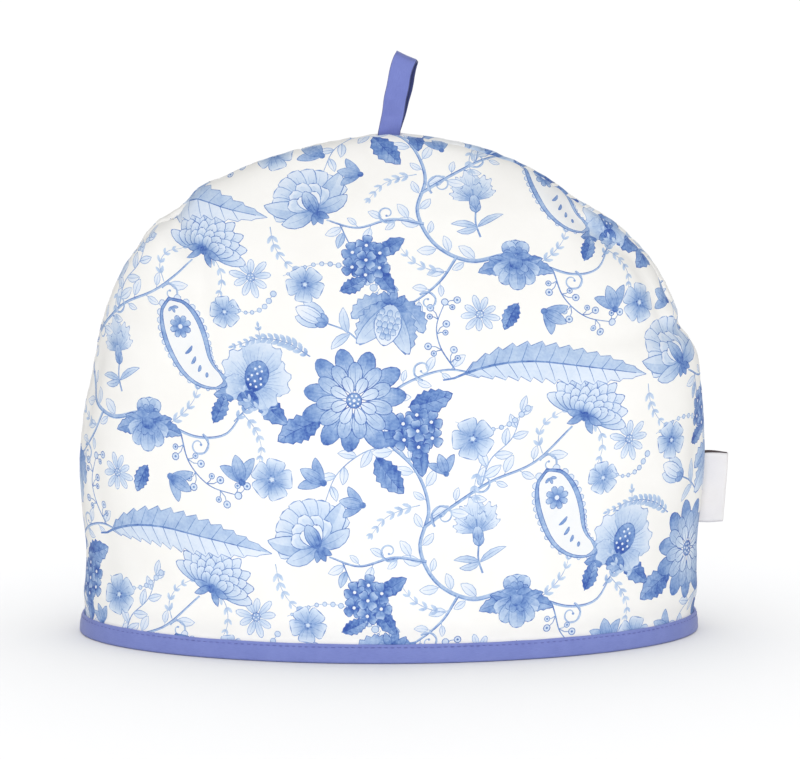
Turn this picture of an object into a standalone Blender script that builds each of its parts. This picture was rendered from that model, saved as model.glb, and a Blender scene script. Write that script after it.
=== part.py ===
"""Padded tea cosy standing open on its bound hem.

Two D-shaped padded panels are sewn together along one curved side seam that
runs up from the left of the hem, over the crest and down to the right.  The
open bottom edge is wrapped in a folded binding, a folded tape makes a hanging
loop at the crest, and a small folded tag is caught in the right-hand seam.

Units are metres, +Z up.  The origin is on the surface the hem stands on, at
the middle of the whole cosy's outline.  +X is the long way of the cosy,
towards the tag, and -Y is its front.
"""
import math

import bpy
import bmesh
import numpy as np

MM = 0.001


def table(columns, *rows):
    """A short table with named columns: one numpy array for each column."""
    names = columns.split()
    return {c: np.array([row[i] for row in rows], dtype=float) for i, c in enumerate(names)}


# --------------------------------------------------------------------------
# Driving dimensions
# --------------------------------------------------------------------------
HALF_WIDTH = 148.3 * MM        # half the width of the plain dome at the hem
CREST = 237.2 * MM             # height of the plain dome's outline
DOME_POWER = 4.0               # squareness of the outline's shoulders
LENS_HEM, LENS_CREST = 0.03, 0.20   # how much a section narrows towards the seam
CENTRE_X = -6.4 * MM           # moves the whole so that its box is centred
CENTRE_Y = 0.0 * MM

SEAM_GAP = 0.15 * MM           # half the gap between the two panels
CLEAR = 0.30 * MM              # gap between any two touching pieces

GROOVE_DEPTH = 1.9 * MM        # how far the seam is pulled in below the puff
GROOVE_WIDTH = 9.0 * MM        # how far from the seam the puff starts

WALL = 8.6 * MM                # padded wall, well inside the panel
WALL_AT_SEAM = 3.2 * MM
WALL_AT_HEM = 4.6 * MM
WALL_GROWS = 22.0 * MM         # distance from the seam to the full wall

BINDING_CLOTH = 1.0 * MM
BINDING_TALL = 9.2 * MM
CHANNEL = WALL_AT_HEM + 2 * CLEAR      # inside width of the folded binding

LOOP_TAPE = 1.2 * MM           # thickness of the tape
LOOP_WIDE = 10.8 * MM
LOOP_ROOT = 6.0 * MM           # sewn end below the seam line
LOOP_TURN = math.radians(-13.0)  # turned about the vertical

TAG_CLOTH = 0.8 * MM
TAG_SLOT = 0.5 * MM            # between its two layers
TAG_OUT = 11.7 * MM            # how far it stands out of the seam
TAG_ROOT = 3.4 * MM
TAG_LOW, TAG_HIGH = 51.2 * MM, 84.6 * MM

COLUMNS, ROWS_ABOVE = 34, 16   # mesh divisions of a panel

# Half depth of the dome at each height.
DEPTH = table(
    "height half_depth",
    (0 * MM, 80.0 * MM),
    (40 * MM, 80.5 * MM),
    (80 * MM, 78.0 * MM),
    (120 * MM, 72.5 * MM),
    (160 * MM, 64.5 * MM),
    (200 * MM, 55.0 * MM),
    (240 * MM, 44.0 * MM),
)

# How far the outline stands out of the plain dome on either side.
SIDES = table(
    "height left right",
    (0 * MM, 0.2 * MM, -0.4 * MM),
    (14 * MM, -2.0 * MM, -1.8 * MM),
    (40 * MM, -3.6 * MM, -1.7 * MM),
    (62 * MM, -1.2 * MM, 0.2 * MM),
    (85 * MM, 0.6 * MM, 2.8 * MM),
    (110 * MM, 0.2 * MM, 4.2 * MM),
    (120 * MM, -0.8 * MM, 4.8 * MM),
    (132 * MM, -0.6 * MM, 5.9 * MM),
    (139 * MM, 0.0 * MM, 4.6 * MM),
    (146 * MM, 0.6 * MM, 1.0 * MM),
    (154 * MM, 1.0 * MM, 2.4 * MM),
    (176 * MM, 2.5 * MM, 1.2 * MM),
    (188 * MM, 3.0 * MM, 0.0 * MM),
    (202 * MM, 1.6 * MM, 0.0 * MM),
    (216 * MM, 0.0 * MM, 0.0 * MM),
)

# How far the top of the outline is lifted, across the cosy.
CROWN = table(
    "across lift",
    (-130 * MM, 0.0 * MM),
    (-112 * MM, 2.2 * MM),
    (-99 * MM, -0.8 * MM),
    (-89 * MM, 2.6 * MM),
    (-76 * MM, 0.6 * MM),
    (-56 * MM, 0.5 * MM),
    (-28 * MM, 0.5 * MM),
    (0 * MM, 1.2 * MM),
    (28 * MM, 0.2 * MM),
    (47 * MM, -0.6 * MM),
    (62 * MM, -1.4 * MM),
    (75 * MM, -2.6 * MM),
    (90 * MM, -4.6 * MM),
    (99 * MM, -4.0 * MM),
    (110 * MM, -1.2 * MM),
    (122 * MM, 0.0 * MM),
)

# Sideways wander of the seam over the crown, towards the back when positive.
WANDER = table(
    "across back",
    (-150 * MM, 0.0 * MM),
    (-95 * MM, 1.5 * MM),
    (-45 * MM, 2.4 * MM),
    (0 * MM, 0.8 * MM),
    (45 * MM, -2.4 * MM),
    (66 * MM, -1.6 * MM),
    (96 * MM, -3.6 * MM),
    (150 * MM, 0.0 * MM),
)

# Extra fullness of the padding beside the seam, on each panel.
PUFF = table(
    "across front back",
    (-150 * MM, 0.0 * MM, 0.0 * MM),
    (-90 * MM, 0.6 * MM, -0.8 * MM),
    (-45 * MM, 0.8 * MM, -1.0 * MM),
    (0 * MM, 0.4 * MM, 0.4 * MM),
    (24 * MM, 0.0 * MM, 2.2 * MM),
    (44 * MM, -0.6 * MM, 3.0 * MM),
    (58 * MM, -0.2 * MM, 1.2 * MM),
    (70 * MM, 0.0 * MM, 1.0 * MM),
    (84 * MM, -0.7 * MM, 3.0 * MM),
    (100 * MM, -1.0 * MM, 4.2 * MM),
    (116 * MM, -0.6 * MM, 3.6 * MM),
    (132 * MM, 0.0 * MM, 1.2 * MM),
    (150 * MM, 0.0 * MM, 0.0 * MM),
)
PUFF_AT, PUFF_SPREAD = 11.0 * MM, 9.0 * MM     # from the seam to the fullest line

# Main soft troughs of each panel: the middle of the trough in the flat panel
# (across, up), the way it runs, its half length and half width, and its depth
# (a ridge where the depth is negative).
FOLDS = table(
    "panel across up runs half_length half_width depth",
    (-1, -118 * MM, 214 * MM, -38, 34 * MM, 7.0 * MM, 2.2 * MM),
    (-1, -96 * MM, 196 * MM, -80, 36 * MM, 8.0 * MM, 1.0 * MM),
    (-1, 150 * MM, 168 * MM, 200, 30 * MM, 8.0 * MM, 2.0 * MM),
    (-1, -150 * MM, 140 * MM, 60, 26 * MM, 9.0 * MM, 1.1 * MM),
    (-1, 92 * MM, 218 * MM, 120, 34 * MM, 10.0 * MM, 1.1 * MM),
    (-1, -30 * MM, 60 * MM, 12, 60 * MM, 18.0 * MM, 0.9 * MM),
    (1, 108 * MM, 206 * MM, 140, 36 * MM, 8.0 * MM, 1.8 * MM),
    (1, -126 * MM, 176 * MM, -55, 34 * MM, 9.0 * MM, 1.6 * MM),
    (1, 24 * MM, 70 * MM, -10, 62 * MM, 18.0 * MM, 1.0 * MM),
)


def smooth(t):
    t = np.clip(t, 0.0, 1.0)
    return t * t * (3.0 - 2.0 * t)


def read(tab, key, column, x):
    """Read a column between its rows with a smooth curve that never overshoots."""
    xs, ys = tab[key], tab[column]
    h = np.diff(xs)
    slope = np.diff(ys) / h
    tangent = np.zeros_like(ys)
    same = slope[:-1] * slope[1:] > 0
    tangent[1:-1][same] = 2.0 * (slope[:-1] * slope[1:])[same] / (slope[:-1] + slope[1:])[same]
    x = np.clip(np.asarray(x, dtype=float), xs[0], xs[-1])
    i = np.clip(np.searchsorted(xs, x, side="right") - 1, 0, len(h) - 1)
    t = (x - xs[i]) / h[i]
    return (
        ys[i] * (1 + 2 * t) * (1 - t) ** 2
        + tangent[i] * h[i] * t * (1 - t) ** 2
        + ys[i + 1] * t * t * (3 - 2 * t)
        + tangent[i + 1] * h[i] * t * t * (t - 1)
    )


# --------------------------------------------------------------------------
# The plain dome: w is 1 at the hem and 0 at the crest, theta runs 0..pi from
# the left seam round the panel to the right seam.
# --------------------------------------------------------------------------
def plain(theta, w):
    z = CREST * (1.0 - w * w)
    full = np.clip(1.0 - (z / CREST) ** DOME_POWER, 0.0, 1.0)
    g = np.sqrt(full)
    s = np.sin(theta)
    x = -HALF_WIDTH * g * np.cos(theta)
    lens = LENS_HEM + (LENS_CREST - LENS_HEM) * (z / CREST) ** 2
    y = read(DEPTH, "height", "half_depth", z) * g * s * (1.0 - lens * (1.0 - full * s * s))
    return x, y, z


def outward(theta, w):
    """Unit normal of the plain dome, pointing out (for the +y half)."""
    w = np.maximum(w, 0.02)
    e = 1e-3
    a = np.stack(plain(theta + e, w), -1) - np.stack(plain(theta - e, w), -1)
    b = np.stack(plain(theta, w - e), -1) - np.stack(plain(theta, w + e), -1)
    n = np.cross(b, a)
    return n / np.linalg.norm(n, axis=-1, keepdims=True)


# Flat pattern of a panel: v is measured up its middle, u along each level
# section, from that middle.
W_STEPS = np.linspace(0.0, 1.0, 241)
T_STEPS = np.linspace(0.0, math.pi, 241)


def flat_pattern():
    th, w = np.meshgrid(T_STEPS, W_STEPS)
    p = np.stack(plain(th, w), -1)
    step = np.linalg.norm(np.diff(p, axis=1), axis=-1)
    run = np.concatenate([np.zeros((len(W_STEPS), 1)), np.cumsum(step, axis=1)], axis=1)
    half = run[:, -1] / 2.0
    frac = np.linspace(0.0, 1.0, 241)
    inverse = np.empty((len(W_STEPS), len(frac)))
    for j in range(1, len(W_STEPS)):
        inverse[j] = np.interp(frac, run[j] / run[j, -1], T_STEPS)
    inverse[0] = inverse[1]
    mid = np.stack(plain(np.full_like(W_STEPS, math.pi / 2), W_STEPS), -1)
    up = np.concatenate([[0.0], np.cumsum(np.linalg.norm(np.diff(mid, axis=0), axis=-1))])
    return half, up[-1] - up, inverse


HALF_U, V_OF_W, THETA_OF = flat_pattern()
V_TOP = V_OF_W[0]


def w_at(v):
    return np.interp(V_TOP - np.asarray(v, dtype=float), V_TOP - V_OF_W, W_STEPS)


def v_at_height(z):
    return np.interp(math.sqrt(max(0.0, 1.0 - z / CREST)), W_STEPS, V_OF_W)


def half_u(v):
    return np.interp(w_at(v), W_STEPS, HALF_U)


def theta_at(u, w):
    f = np.clip(0.5 + 0.5 * u / np.maximum(np.interp(w, W_STEPS, HALF_U), 1e-9), 0.0, 1.0)
    wi = np.clip(w * 240.0, 0.0, 240.0)
    fi = f * 240.0
    i, j = np.minimum(wi.astype(int), 239), np.minimum(fi.astype(int), 239)
    a, b = wi - i, fi - j
    return (
        THETA_OF[i, j] * (1 - a) * (1 - b)
        + THETA_OF[i + 1, j] * a * (1 - b)
        + THETA_OF[i, j + 1] * (1 - a) * b
        + THETA_OF[i + 1, j + 1] * a * b
    )


def from_seam(u, v):
    """Distance from the curved seam, in the flat panel."""
    du = np.maximum(half_u(v) - np.abs(u), 0.0)
    dv = np.maximum(np.interp(np.abs(u), HALF_U, V_OF_W) - v, 0.0)
    return du * dv / np.maximum(np.hypot(du, dv), 1e-9)


def folded(u, v, panel):
    """Depth of the soft troughs at a place of one panel."""
    total = np.zeros_like(u)
    for k in range(len(FOLDS["panel"])):
        if FOLDS["panel"][k] != panel:
            continue
        c, s = math.cos(math.radians(FOLDS["runs"][k])), math.sin(math.radians(FOLDS["runs"][k]))
        du, dv = u - FOLDS["across"][k], v - FOLDS["up"][k]
        along = (du * c + dv * s) / FOLDS["half_length"][k]
        side = (-du * s + dv * c) / FOLDS["half_width"][k]
        total += FOLDS["depth"][k] * np.exp(-(along ** 2) ** 1.5 - side ** 2)
    return total


def place(u, v, panel, inset, gap=0.0):
    """A point of a panel (-1 front, 1 back), set in from the dome's surface."""
    w = w_at(v)
    th = theta_at(u, w)
    x, y, z = plain(th, w)
    n = outward(th, w)
    x = x - n[..., 0] * inset
    y = np.maximum(y - n[..., 1] * inset, 0.0)
    z = z - n[..., 2] * inset
    # uneven outline
    reach = np.abs(x) / HALF_WIDTH
    side = np.where(x < 0, read(SIDES, "height", "left", z), read(SIDES, "height", "right", z))
    x = x + np.sign(x) * side * smooth(reach)
    z = z + read(CROWN, "across", "lift", x) * smooth((z / CREST - 0.55) / 0.4)
    # the slit between the panels
    y = panel * (y + gap * np.exp(-y / (8.0 * MM)))
    y = y + read(WANDER, "across", "back", x) * (np.clip(z, 0, None) / CREST) ** 3
    return x + CENTRE_X, y + CENTRE_Y, z


def slit(x, z):
    """Half the gap between the panels, wider where the loop and tag go in."""
    x = x - CENTRE_X
    loop = smooth((12.0 * MM - np.abs(x - LOOP_AT)) / (5.5 * MM)) * (z > CREST * 0.8)
    mid, half = (TAG_LOW + TAG_HIGH) / 2, (TAG_HIGH - TAG_LOW) / 2
    tag = smooth((half + 8.0 * MM - np.abs(z - mid)) / (6.5 * MM)) * (x > 0.5 * HALF_WIDTH)
    wide_loop = LOOP_TAPE + CLEAR + 0.05 * MM
    wide_tag = TAG_CLOTH + TAG_SLOT / 2 + CLEAR + 0.05 * MM
    return SEAM_GAP + loop * (wide_loop - SEAM_GAP) + tag * (wide_tag - SEAM_GAP)


LOOP_AT = -0.4 * MM            # where the loop leaves the crest


# --------------------------------------------------------------------------
# Mesh helpers
# --------------------------------------------------------------------------
def clear_scene():
    for ob in list(bpy.data.objects):
        bpy.data.objects.remove(ob, do_unlink=True)


def cloth(name, colour, roughness):
    mat = bpy.data.materials.new(name)
    mat.use_nodes = True
    bsdf = mat.node_tree.nodes["Principled BSDF"]
    bsdf.inputs["Base Color"].default_value = (*colour, 1.0)
    bsdf.inputs["Roughness"].default_value = roughness
    bsdf.inputs["Metallic"].default_value = 0.0
    return mat


def add(name, verts, faces, mat):
    me = bpy.data.meshes.new(name)
    bm = bmesh.new()
    made = [bm.verts.new(v) for v in verts]
    for f in faces:
        bm.faces.new([made[i] for i in f])
    bmesh.ops.recalc_face_normals(bm, faces=bm.faces)
    bm.to_mesh(me)
    bm.free()
    me.materials.append(mat)
    me.shade_smooth()
    ob = bpy.data.objects.new(name, me)
    bpy.context.scene.collection.objects.link(ob)
    return ob


# --------------------------------------------------------------------------
# Panels
# --------------------------------------------------------------------------
def stations():
    s = np.linspace(-1.0, 1.0, COLUMNS + 1)
    return 0.76 * s + 0.24 * np.sin(s * math.pi / 2)


HEM_ROWS = (BINDING_CLOTH + CLEAR, 5.4 * MM, 10.0 * MM, 13.0 * MM, 18.0 * MM, 26.0 * MM)
SHOULDER_W = 0.40              # where the side edges of the grid meet its top edge


def panel_grid():
    """Flat (u, v) of a grid whose sides and top follow the curved seam."""
    s = stations()
    side_w = np.linspace(w_at(v_at_height(HEM_ROWS[-1])), SHOULDER_W, ROWS_ABOVE + 1)[1:]
    v_side = np.array([v_at_height(z) for z in HEM_ROWS] + list(np.interp(side_w, W_STEPS, V_OF_W)))
    v_low, v_high = v_side[len(HEM_ROWS) - 1], v_side[-1]
    # the top edge, at equal steps along the seam between the two shoulders
    run_w = np.linspace(SHOULDER_W, 0.0, 200)
    pu, pv = np.interp(run_w, W_STEPS, HALF_U), np.interp(run_w, W_STEPS, V_OF_W)
    length = np.concatenate([[0.0], np.cumsum(np.hypot(np.diff(pu), np.diff(pv)))])
    along = (1.0 - np.abs(s)) * length[-1]
    top_u = np.sign(s) * np.interp(along, length, pu)
    top_v = np.interp(along, length, pv)
    rows = []
    for v in v_side:
        t = np.clip((v - v_low) / (v_high - v_low), 0.0, 1.0)
        edge_u = float(half_u(v))
        vv = v + t * (top_v - v_high)
        uu = (1 - t) * s * edge_u + t * (top_u + s * (edge_u - top_u[-1]))
        rows.append(np.stack([uu, vv], -1))
    return np.array(rows)


def outer_inset(u, v, panel):
    """How far the cloth is set in: under the binding, and in the seam groove."""
    w = w_at(v)
    z = CREST * (1.0 - w * w)
    d = from_seam(u, v)
    x = plain(theta_at(u, w), w)[0]
    puff = read(PUFF, "across", "front" if panel < 0 else "back", x)
    puff = puff * np.exp(-(((d - PUFF_AT) / PUFF_SPREAD) ** 2)) * smooth((z / CREST - 0.5) / 0.25)
    clear_of_hem = smooth((z - 10.0 * MM) / (14.0 * MM))
    under = (BINDING_CLOTH + CLEAR) * (1.0 - clear_of_hem) - 0.3 * MM * clear_of_hem
    groove = GROOVE_DEPTH * np.clip(1.0 - d / GROOVE_WIDTH, 0.0, 1.0) ** 2
    return under - puff + groove * smooth((z - 9.5 * MM) / (18.0 * MM))


def wall(u, v):
    z = CREST * (1.0 - w_at(v) ** 2)
    d = from_seam(u, v)
    full = WALL_AT_SEAM + (WALL - WALL_AT_SEAM) * smooth(d / WALL_GROWS)
    up = smooth((z - 9.5 * MM) / (26.0 * MM))
    return WALL_AT_HEM + (full - WALL_AT_HEM) * up


def build_panel(name, panel, mat):
    grid = panel_grid()
    u, v = grid[..., 0], grid[..., 1]
    rows, cols = u.shape
    z = CREST * (1.0 - w_at(v) ** 2)
    fade = smooth((z - 9.5 * MM) / (18.0 * MM))
    inset = outer_inset(u, v, panel)
    troughs = folded(u, v, panel) * fade
    x0, _, z0 = place(u, v, panel, inset)
    gap = slit(x0, z0)
    outer = np.stack(place(u, v, panel, inset + troughs, gap), -1)
    inner = np.stack(place(u, v, panel, inset + wall(u, v) + 0.6 * troughs, gap), -1)
    verts = [tuple(p) for p in outer.reshape(-1, 3)] + [tuple(p) for p in inner.reshape(-1, 3)]
    n = rows * cols
    faces = []
    for j in range(rows - 1):
        for i in range(cols - 1):
            a = j * cols + i
            faces.append((a, a + 1, a + cols + 1, a + cols))
            faces.append((n + a, n + a + cols, n + a + cols + 1, n + a + 1))
    rim = [i for i in range(cols)]
    rim += [j * cols + cols - 1 for j in range(1, rows)]
    rim += [(rows - 1) * cols + i for i in range(cols - 2, -1, -1)]
    rim += [j * cols for j in range(rows - 2, 0, -1)]
    for k, a in enumerate(rim):
        b = rim[(k + 1) % len(rim)]
        faces.append((a, n + a, n + b, b))
    return add(name, verts, faces, mat)


# --------------------------------------------------------------------------
# Binding round the hem: a folded strip whose section is a narrow U
# --------------------------------------------------------------------------
def build_binding(name, mat):
    c, wide, tall = BINDING_CLOTH, CHANNEL + 2 * BINDING_CLOTH, BINDING_TALL
    soft = 0.45 * c
    section = table(
        "inset height",
        (0.0, 0.8 * c),
        (0.0, tall - soft),
        (0.5 * c, tall),
        (c, tall - soft),
        (c, c),
        (wide - c, c),
        (wide - c, tall - soft),
        (wide - 0.5 * c, tall),
        (wide, tall - soft),
        (wide, 0.8 * c),
        (wide - 0.8 * c, 0.0),
        (0.8 * c, 0.0),
    )
    s = stations()
    ring = []
    for panel, order in ((-1, s), (1, s[::-1])):
        for k in order[:-1]:
            loop = []
            for inset, height in zip(section["inset"], section["height"]):
                v = np.array([v_at_height(height)])
                u = k * half_u(v)
                x, y, z = place(u, v, panel, np.array([inset]))
                loop.append((float(x[0]), float(y[0]), float(height)))
            ring.append(loop)
    m, n = len(ring), len(section["inset"])
    verts = [p for loop in ring for p in loop]
    faces = []
    for i in range(m):
        for j in range(n):
            a, b = i * n + j, i * n + (j + 1) % n
            c2, d = ((i + 1) % m) * n + (j + 1) % n, ((i + 1) % m) * n + j
            faces.append((a, b, c2, d))
    return add(name, verts, faces, mat)


# --------------------------------------------------------------------------
# Hanging loop: a tape folded over, its two ends sewn together in the seam
# --------------------------------------------------------------------------
LOOP_SHAPE = table(            # up the loop: lean to the right, half gap inside
    "up lean half_gap",
    (0.0 * MM, 0.0 * MM, 0.05 * MM),
    (5.0 * MM, 1.1 * MM, 0.6 * MM),
    (10.0 * MM, 2.2 * MM, 1.5 * MM),
    (15.0 * MM, 3.3 * MM, 3.0 * MM),
    (20.0 * MM, 4.4 * MM, 4.0 * MM),
    (26.0 * MM, 5.6 * MM, 4.4 * MM),
    (31.0 * MM, 6.7 * MM, 4.2 * MM),
    (34.0 * MM, 7.4 * MM, 3.2 * MM),
    (36.0 * MM, 8.0 * MM, 1.7 * MM),
    (36.8 * MM, 8.3 * MM, 0.0 * MM),
)


def build_loop(name, mat):
    tab, t = LOOP_SHAPE, LOOP_TAPE
    n = len(tab["up"])
    pts = [(-tab["half_gap"][k], tab["up"][k]) for k in range(n)]
    pts += [(tab["half_gap"][k], tab["up"][k]) for k in range(n - 2, -1, -1)]
    inside = np.array(pts)
    # outer side of the tape: its thickness along the outward direction
    tangent = np.gradient(inside, axis=0)
    tangent /= np.linalg.norm(tangent, axis=1, keepdims=True)
    side = np.stack([-tangent[:, 1], tangent[:, 0]], -1)
    outside = inside + side * t
    outside[0] = (-t, 0.0)
    outside[-1] = (t, 0.0)
    root = [(t, -LOOP_ROOT), (-t, -LOOP_ROOT)]
    profile_out = [tuple(p) for p in outside] + root
    profile_in = [tuple(p) for p in inside]
    w = LOOP_WIDE / 2
    no, ni = len(profile_out), len(profile_in)

    crest = CREST + float(read(CROWN, "across", "lift", LOOP_AT))
    # the ends of the tape are pressed together, so both inner ends are one line
    profile_in[0] = (0.0, 0.0)
    profile_in = profile_in[:-1]
    ni = len(profile_in)

    def world(p, q, across):
        lean = float(read(tab, "up", "lean", max(q, 0.0)))
        tilt = 0.41 * float(smooth((q - 8.0 * MM) / (28.0 * MM)))    # the top edge drops to the right
        ax = across * math.cos(tilt)
        x = ax * math.cos(LOOP_TURN) - p * math.sin(LOOP_TURN) * smooth(q / (8 * MM))
        y = ax * math.sin(LOOP_TURN) * smooth(q / (8 * MM)) + p
        x = x + lean
        z = q - across * math.sin(tilt)
        return (
            x + LOOP_AT + CENTRE_X,
            y + float(read(WANDER, "across", "back", LOOP_AT + lean + ax * (1.0 - smooth(q / (8 * MM))))) + CENTRE_Y,
            z + crest - GROOVE_DEPTH,
        )

    verts = []
    for across in (-w, w):
        verts += [world(p, q, across) for p, q in profile_out]
        verts += [world(p, q, across) for p, q in profile_in]
    half = no + ni
    faces = []
    for k in range(no):                              # outer walls
        a, b = k, (k + 1) % no
        faces.append((a, b, half + b, half + a))
    for k in range(ni):                              # inner walls
        a, b = no + k, no + (k + 1) % ni
        faces.append((a, half + a, half + b, b))
    for off in (0, half):                            # the two edges of the tape
        m = no - 2
        for k in range(m - 1):
            ia, ib = k % ni, (k + 1) % ni
            faces.append((off + k, off + k + 1, off + no + ib, off + no + ia))
        faces.append((off + m - 1, off + m, off + m + 1, off + 0, off + no))
    ob = add(name, verts, faces, mat)
    return ob


# --------------------------------------------------------------------------
# Tag in the right-hand seam: a short ribbon folded once
# --------------------------------------------------------------------------
def build_tag(name, mat):
    c, h = TAG_CLOTH, TAG_SLOT / 2
    out = TAG_OUT
    profile = table(
        "reach side",
        (-TAG_ROOT, -h - c),
        (out * 0.5, -h - c),
        (out - 0.8 * c, -h - c),
        (out, -0.5 * (h + c)),
        (out, 0.5 * (h + c)),
        (out - 0.8 * c, h + c),
        (out * 0.5, h + c),
        (-TAG_ROOT, h + c),
        (-TAG_ROOT, h),
        (out * 0.5, h),
        (out - 1.4 * c, h),
        (out - 1.1 * c, 0.0),
        (out - 1.4 * c, -h),
        (out * 0.5, -h),
        (-TAG_ROOT, -h),
    )
    levels = np.linspace(TAG_LOW, TAG_HIGH, 5)
    verts = []
    n = len(profile["reach"])
    for z in levels:
        v = np.array([v_at_height(z)])
        x0, y0, _ = place(half_u(v), v, 1, np.array([GROOVE_DEPTH]))
        for r, s in zip(profile["reach"], profile["side"]):
            bend = 0.6 * MM * smooth(r / out) * math.sin(3.0 * (z - TAG_LOW) / (TAG_HIGH - TAG_LOW))
            verts.append((float(x0[0]) + GROOVE_DEPTH + r, float(y0[0]) + s - bend, float(z)))
    faces = []
    for j in range(len(levels) - 1):
        for i in range(n):
            a, b = j * n + i, j * n + (i + 1) % n
            faces.append((a, b, b + n, a + n))
    top = (len(levels) - 1) * n
    for off in (0, top):
        # front layer, fold, back layer
        faces.append((off + 14, off + 0, off + 1, off + 13))
        faces.append((off + 13, off + 1, off + 2, off + 12))
        faces.append((off + 12, off + 2, off + 3, off + 11))
        faces.append((off + 11, off + 3, off + 4))
        faces.append((off + 11, off + 4, off + 5, off + 10))
        faces.append((off + 10, off + 5, off + 6, off + 9))
        faces.append((off + 9, off + 6, off + 7, off + 8))
    return add(name, verts, faces, mat)


clear_scene()
PRINTED = cloth("printed_cotton", (0.86, 0.88, 0.90), 0.85)
PRINTED_BACK = cloth("printed_cotton_back", (0.84, 0.87, 0.90), 0.85)
BLUE = cloth("binding_cotton", (0.22, 0.27, 0.62), 0.80)
TAPE = cloth("loop_cotton", (0.20, 0.25, 0.58), 0.80)
WHITE = cloth("tag_ribbon", (0.80, 0.80, 0.83), 0.60)

build_panel("front_panel", -1, PRINTED)
build_panel("back_panel", 1, PRINTED_BACK)
build_binding("hem_binding", BLUE)
build_loop("hanging_loop", TAPE)
build_tag("side_tag", WHITE)
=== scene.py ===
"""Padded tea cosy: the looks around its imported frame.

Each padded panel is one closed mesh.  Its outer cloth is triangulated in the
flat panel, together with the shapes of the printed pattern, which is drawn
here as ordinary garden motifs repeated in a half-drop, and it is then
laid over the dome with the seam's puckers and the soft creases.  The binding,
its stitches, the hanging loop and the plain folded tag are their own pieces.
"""
import math

import bpy
import bmesh
import numpy as np
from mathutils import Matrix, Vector
from mathutils.geometry import delaunay_2d_cdt


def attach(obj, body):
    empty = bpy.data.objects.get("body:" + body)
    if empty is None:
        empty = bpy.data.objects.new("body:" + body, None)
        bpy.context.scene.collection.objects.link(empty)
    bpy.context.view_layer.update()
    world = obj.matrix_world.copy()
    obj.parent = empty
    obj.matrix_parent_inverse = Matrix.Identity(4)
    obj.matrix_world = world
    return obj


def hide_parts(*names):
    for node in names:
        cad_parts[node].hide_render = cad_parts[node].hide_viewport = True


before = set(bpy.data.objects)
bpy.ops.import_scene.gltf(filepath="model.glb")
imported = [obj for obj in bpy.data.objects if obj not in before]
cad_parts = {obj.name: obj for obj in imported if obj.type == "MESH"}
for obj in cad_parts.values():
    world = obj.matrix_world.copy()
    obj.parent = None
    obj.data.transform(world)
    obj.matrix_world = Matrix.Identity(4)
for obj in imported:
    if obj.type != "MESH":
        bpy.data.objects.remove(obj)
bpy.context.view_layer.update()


# ==========================================================================
# The shape, as the frame was built
# ==========================================================================
MM = 0.001


def table(columns, *rows):
    """A short table with named columns: one numpy array for each column."""
    names = columns.split()
    return {c: np.array([row[i] for row in rows], dtype=float) for i, c in enumerate(names)}


# --------------------------------------------------------------------------
# Driving dimensions
# --------------------------------------------------------------------------
HALF_WIDTH = 148.3 * MM        # half the width of the plain dome at the hem
CREST = 237.2 * MM             # height of the plain dome's outline
DOME_POWER = 4.0               # squareness of the outline's shoulders
LENS_HEM, LENS_CREST = 0.03, 0.20   # how much a section narrows towards the seam
CENTRE_X = -6.4 * MM           # moves the whole so that its box is centred
CENTRE_Y = 0.0 * MM

SEAM_GAP = 0.15 * MM           # half the gap between the two panels
CLEAR = 0.30 * MM              # gap between any two touching pieces

GROOVE_DEPTH = 1.9 * MM        # how far the seam is pulled in below the puff
GROOVE_WIDTH = 9.0 * MM        # how far from the seam the puff starts

WALL = 8.6 * MM                # padded wall, well inside the panel
WALL_AT_SEAM = 3.2 * MM
WALL_AT_HEM = 4.6 * MM
WALL_GROWS = 22.0 * MM         # distance from the seam to the full wall

BINDING_CLOTH = 1.0 * MM
BINDING_TALL = 9.2 * MM
CHANNEL = WALL_AT_HEM + 2 * CLEAR      # inside width of the folded binding

LOOP_TAPE = 1.2 * MM           # thickness of the tape
LOOP_WIDE = 10.8 * MM
LOOP_ROOT = 6.0 * MM           # sewn end below the seam line
LOOP_TURN = math.radians(-13.0)  # turned about the vertical

TAG_CLOTH = 0.8 * MM
TAG_SLOT = 0.5 * MM            # between its two layers
TAG_OUT = 11.7 * MM            # how far it stands out of the seam
TAG_ROOT = 3.4 * MM
TAG_LOW, TAG_HIGH = 51.2 * MM, 84.6 * MM

COLUMNS, ROWS_ABOVE = 34, 16   # mesh divisions of a panel

# Half depth of the dome at each height.
DEPTH = table(
    "height half_depth",
    (0 * MM, 80.0 * MM),
    (40 * MM, 80.5 * MM),
    (80 * MM, 78.0 * MM),
    (120 * MM, 72.5 * MM),
    (160 * MM, 64.5 * MM),
    (200 * MM, 55.0 * MM),
    (240 * MM, 44.0 * MM),
)

# How far the outline stands out of the plain dome on either side.
SIDES = table(
    "height left right",
    (0 * MM, 0.2 * MM, -0.4 * MM),
    (14 * MM, -2.0 * MM, -1.8 * MM),
    (40 * MM, -3.6 * MM, -1.7 * MM),
    (62 * MM, -1.2 * MM, 0.2 * MM),
    (85 * MM, 0.6 * MM, 2.8 * MM),
    (110 * MM, 0.2 * MM, 4.2 * MM),
    (120 * MM, -0.8 * MM, 4.8 * MM),
    (132 * MM, -0.6 * MM, 5.9 * MM),
    (139 * MM, 0.0 * MM, 4.6 * MM),
    (146 * MM, 0.6 * MM, 1.0 * MM),
    (154 * MM, 1.0 * MM, 2.4 * MM),
    (176 * MM, 2.5 * MM, 1.2 * MM),
    (188 * MM, 3.0 * MM, 0.0 * MM),
    (202 * MM, 1.6 * MM, 0.0 * MM),
    (216 * MM, 0.0 * MM, 0.0 * MM),
)

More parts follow.
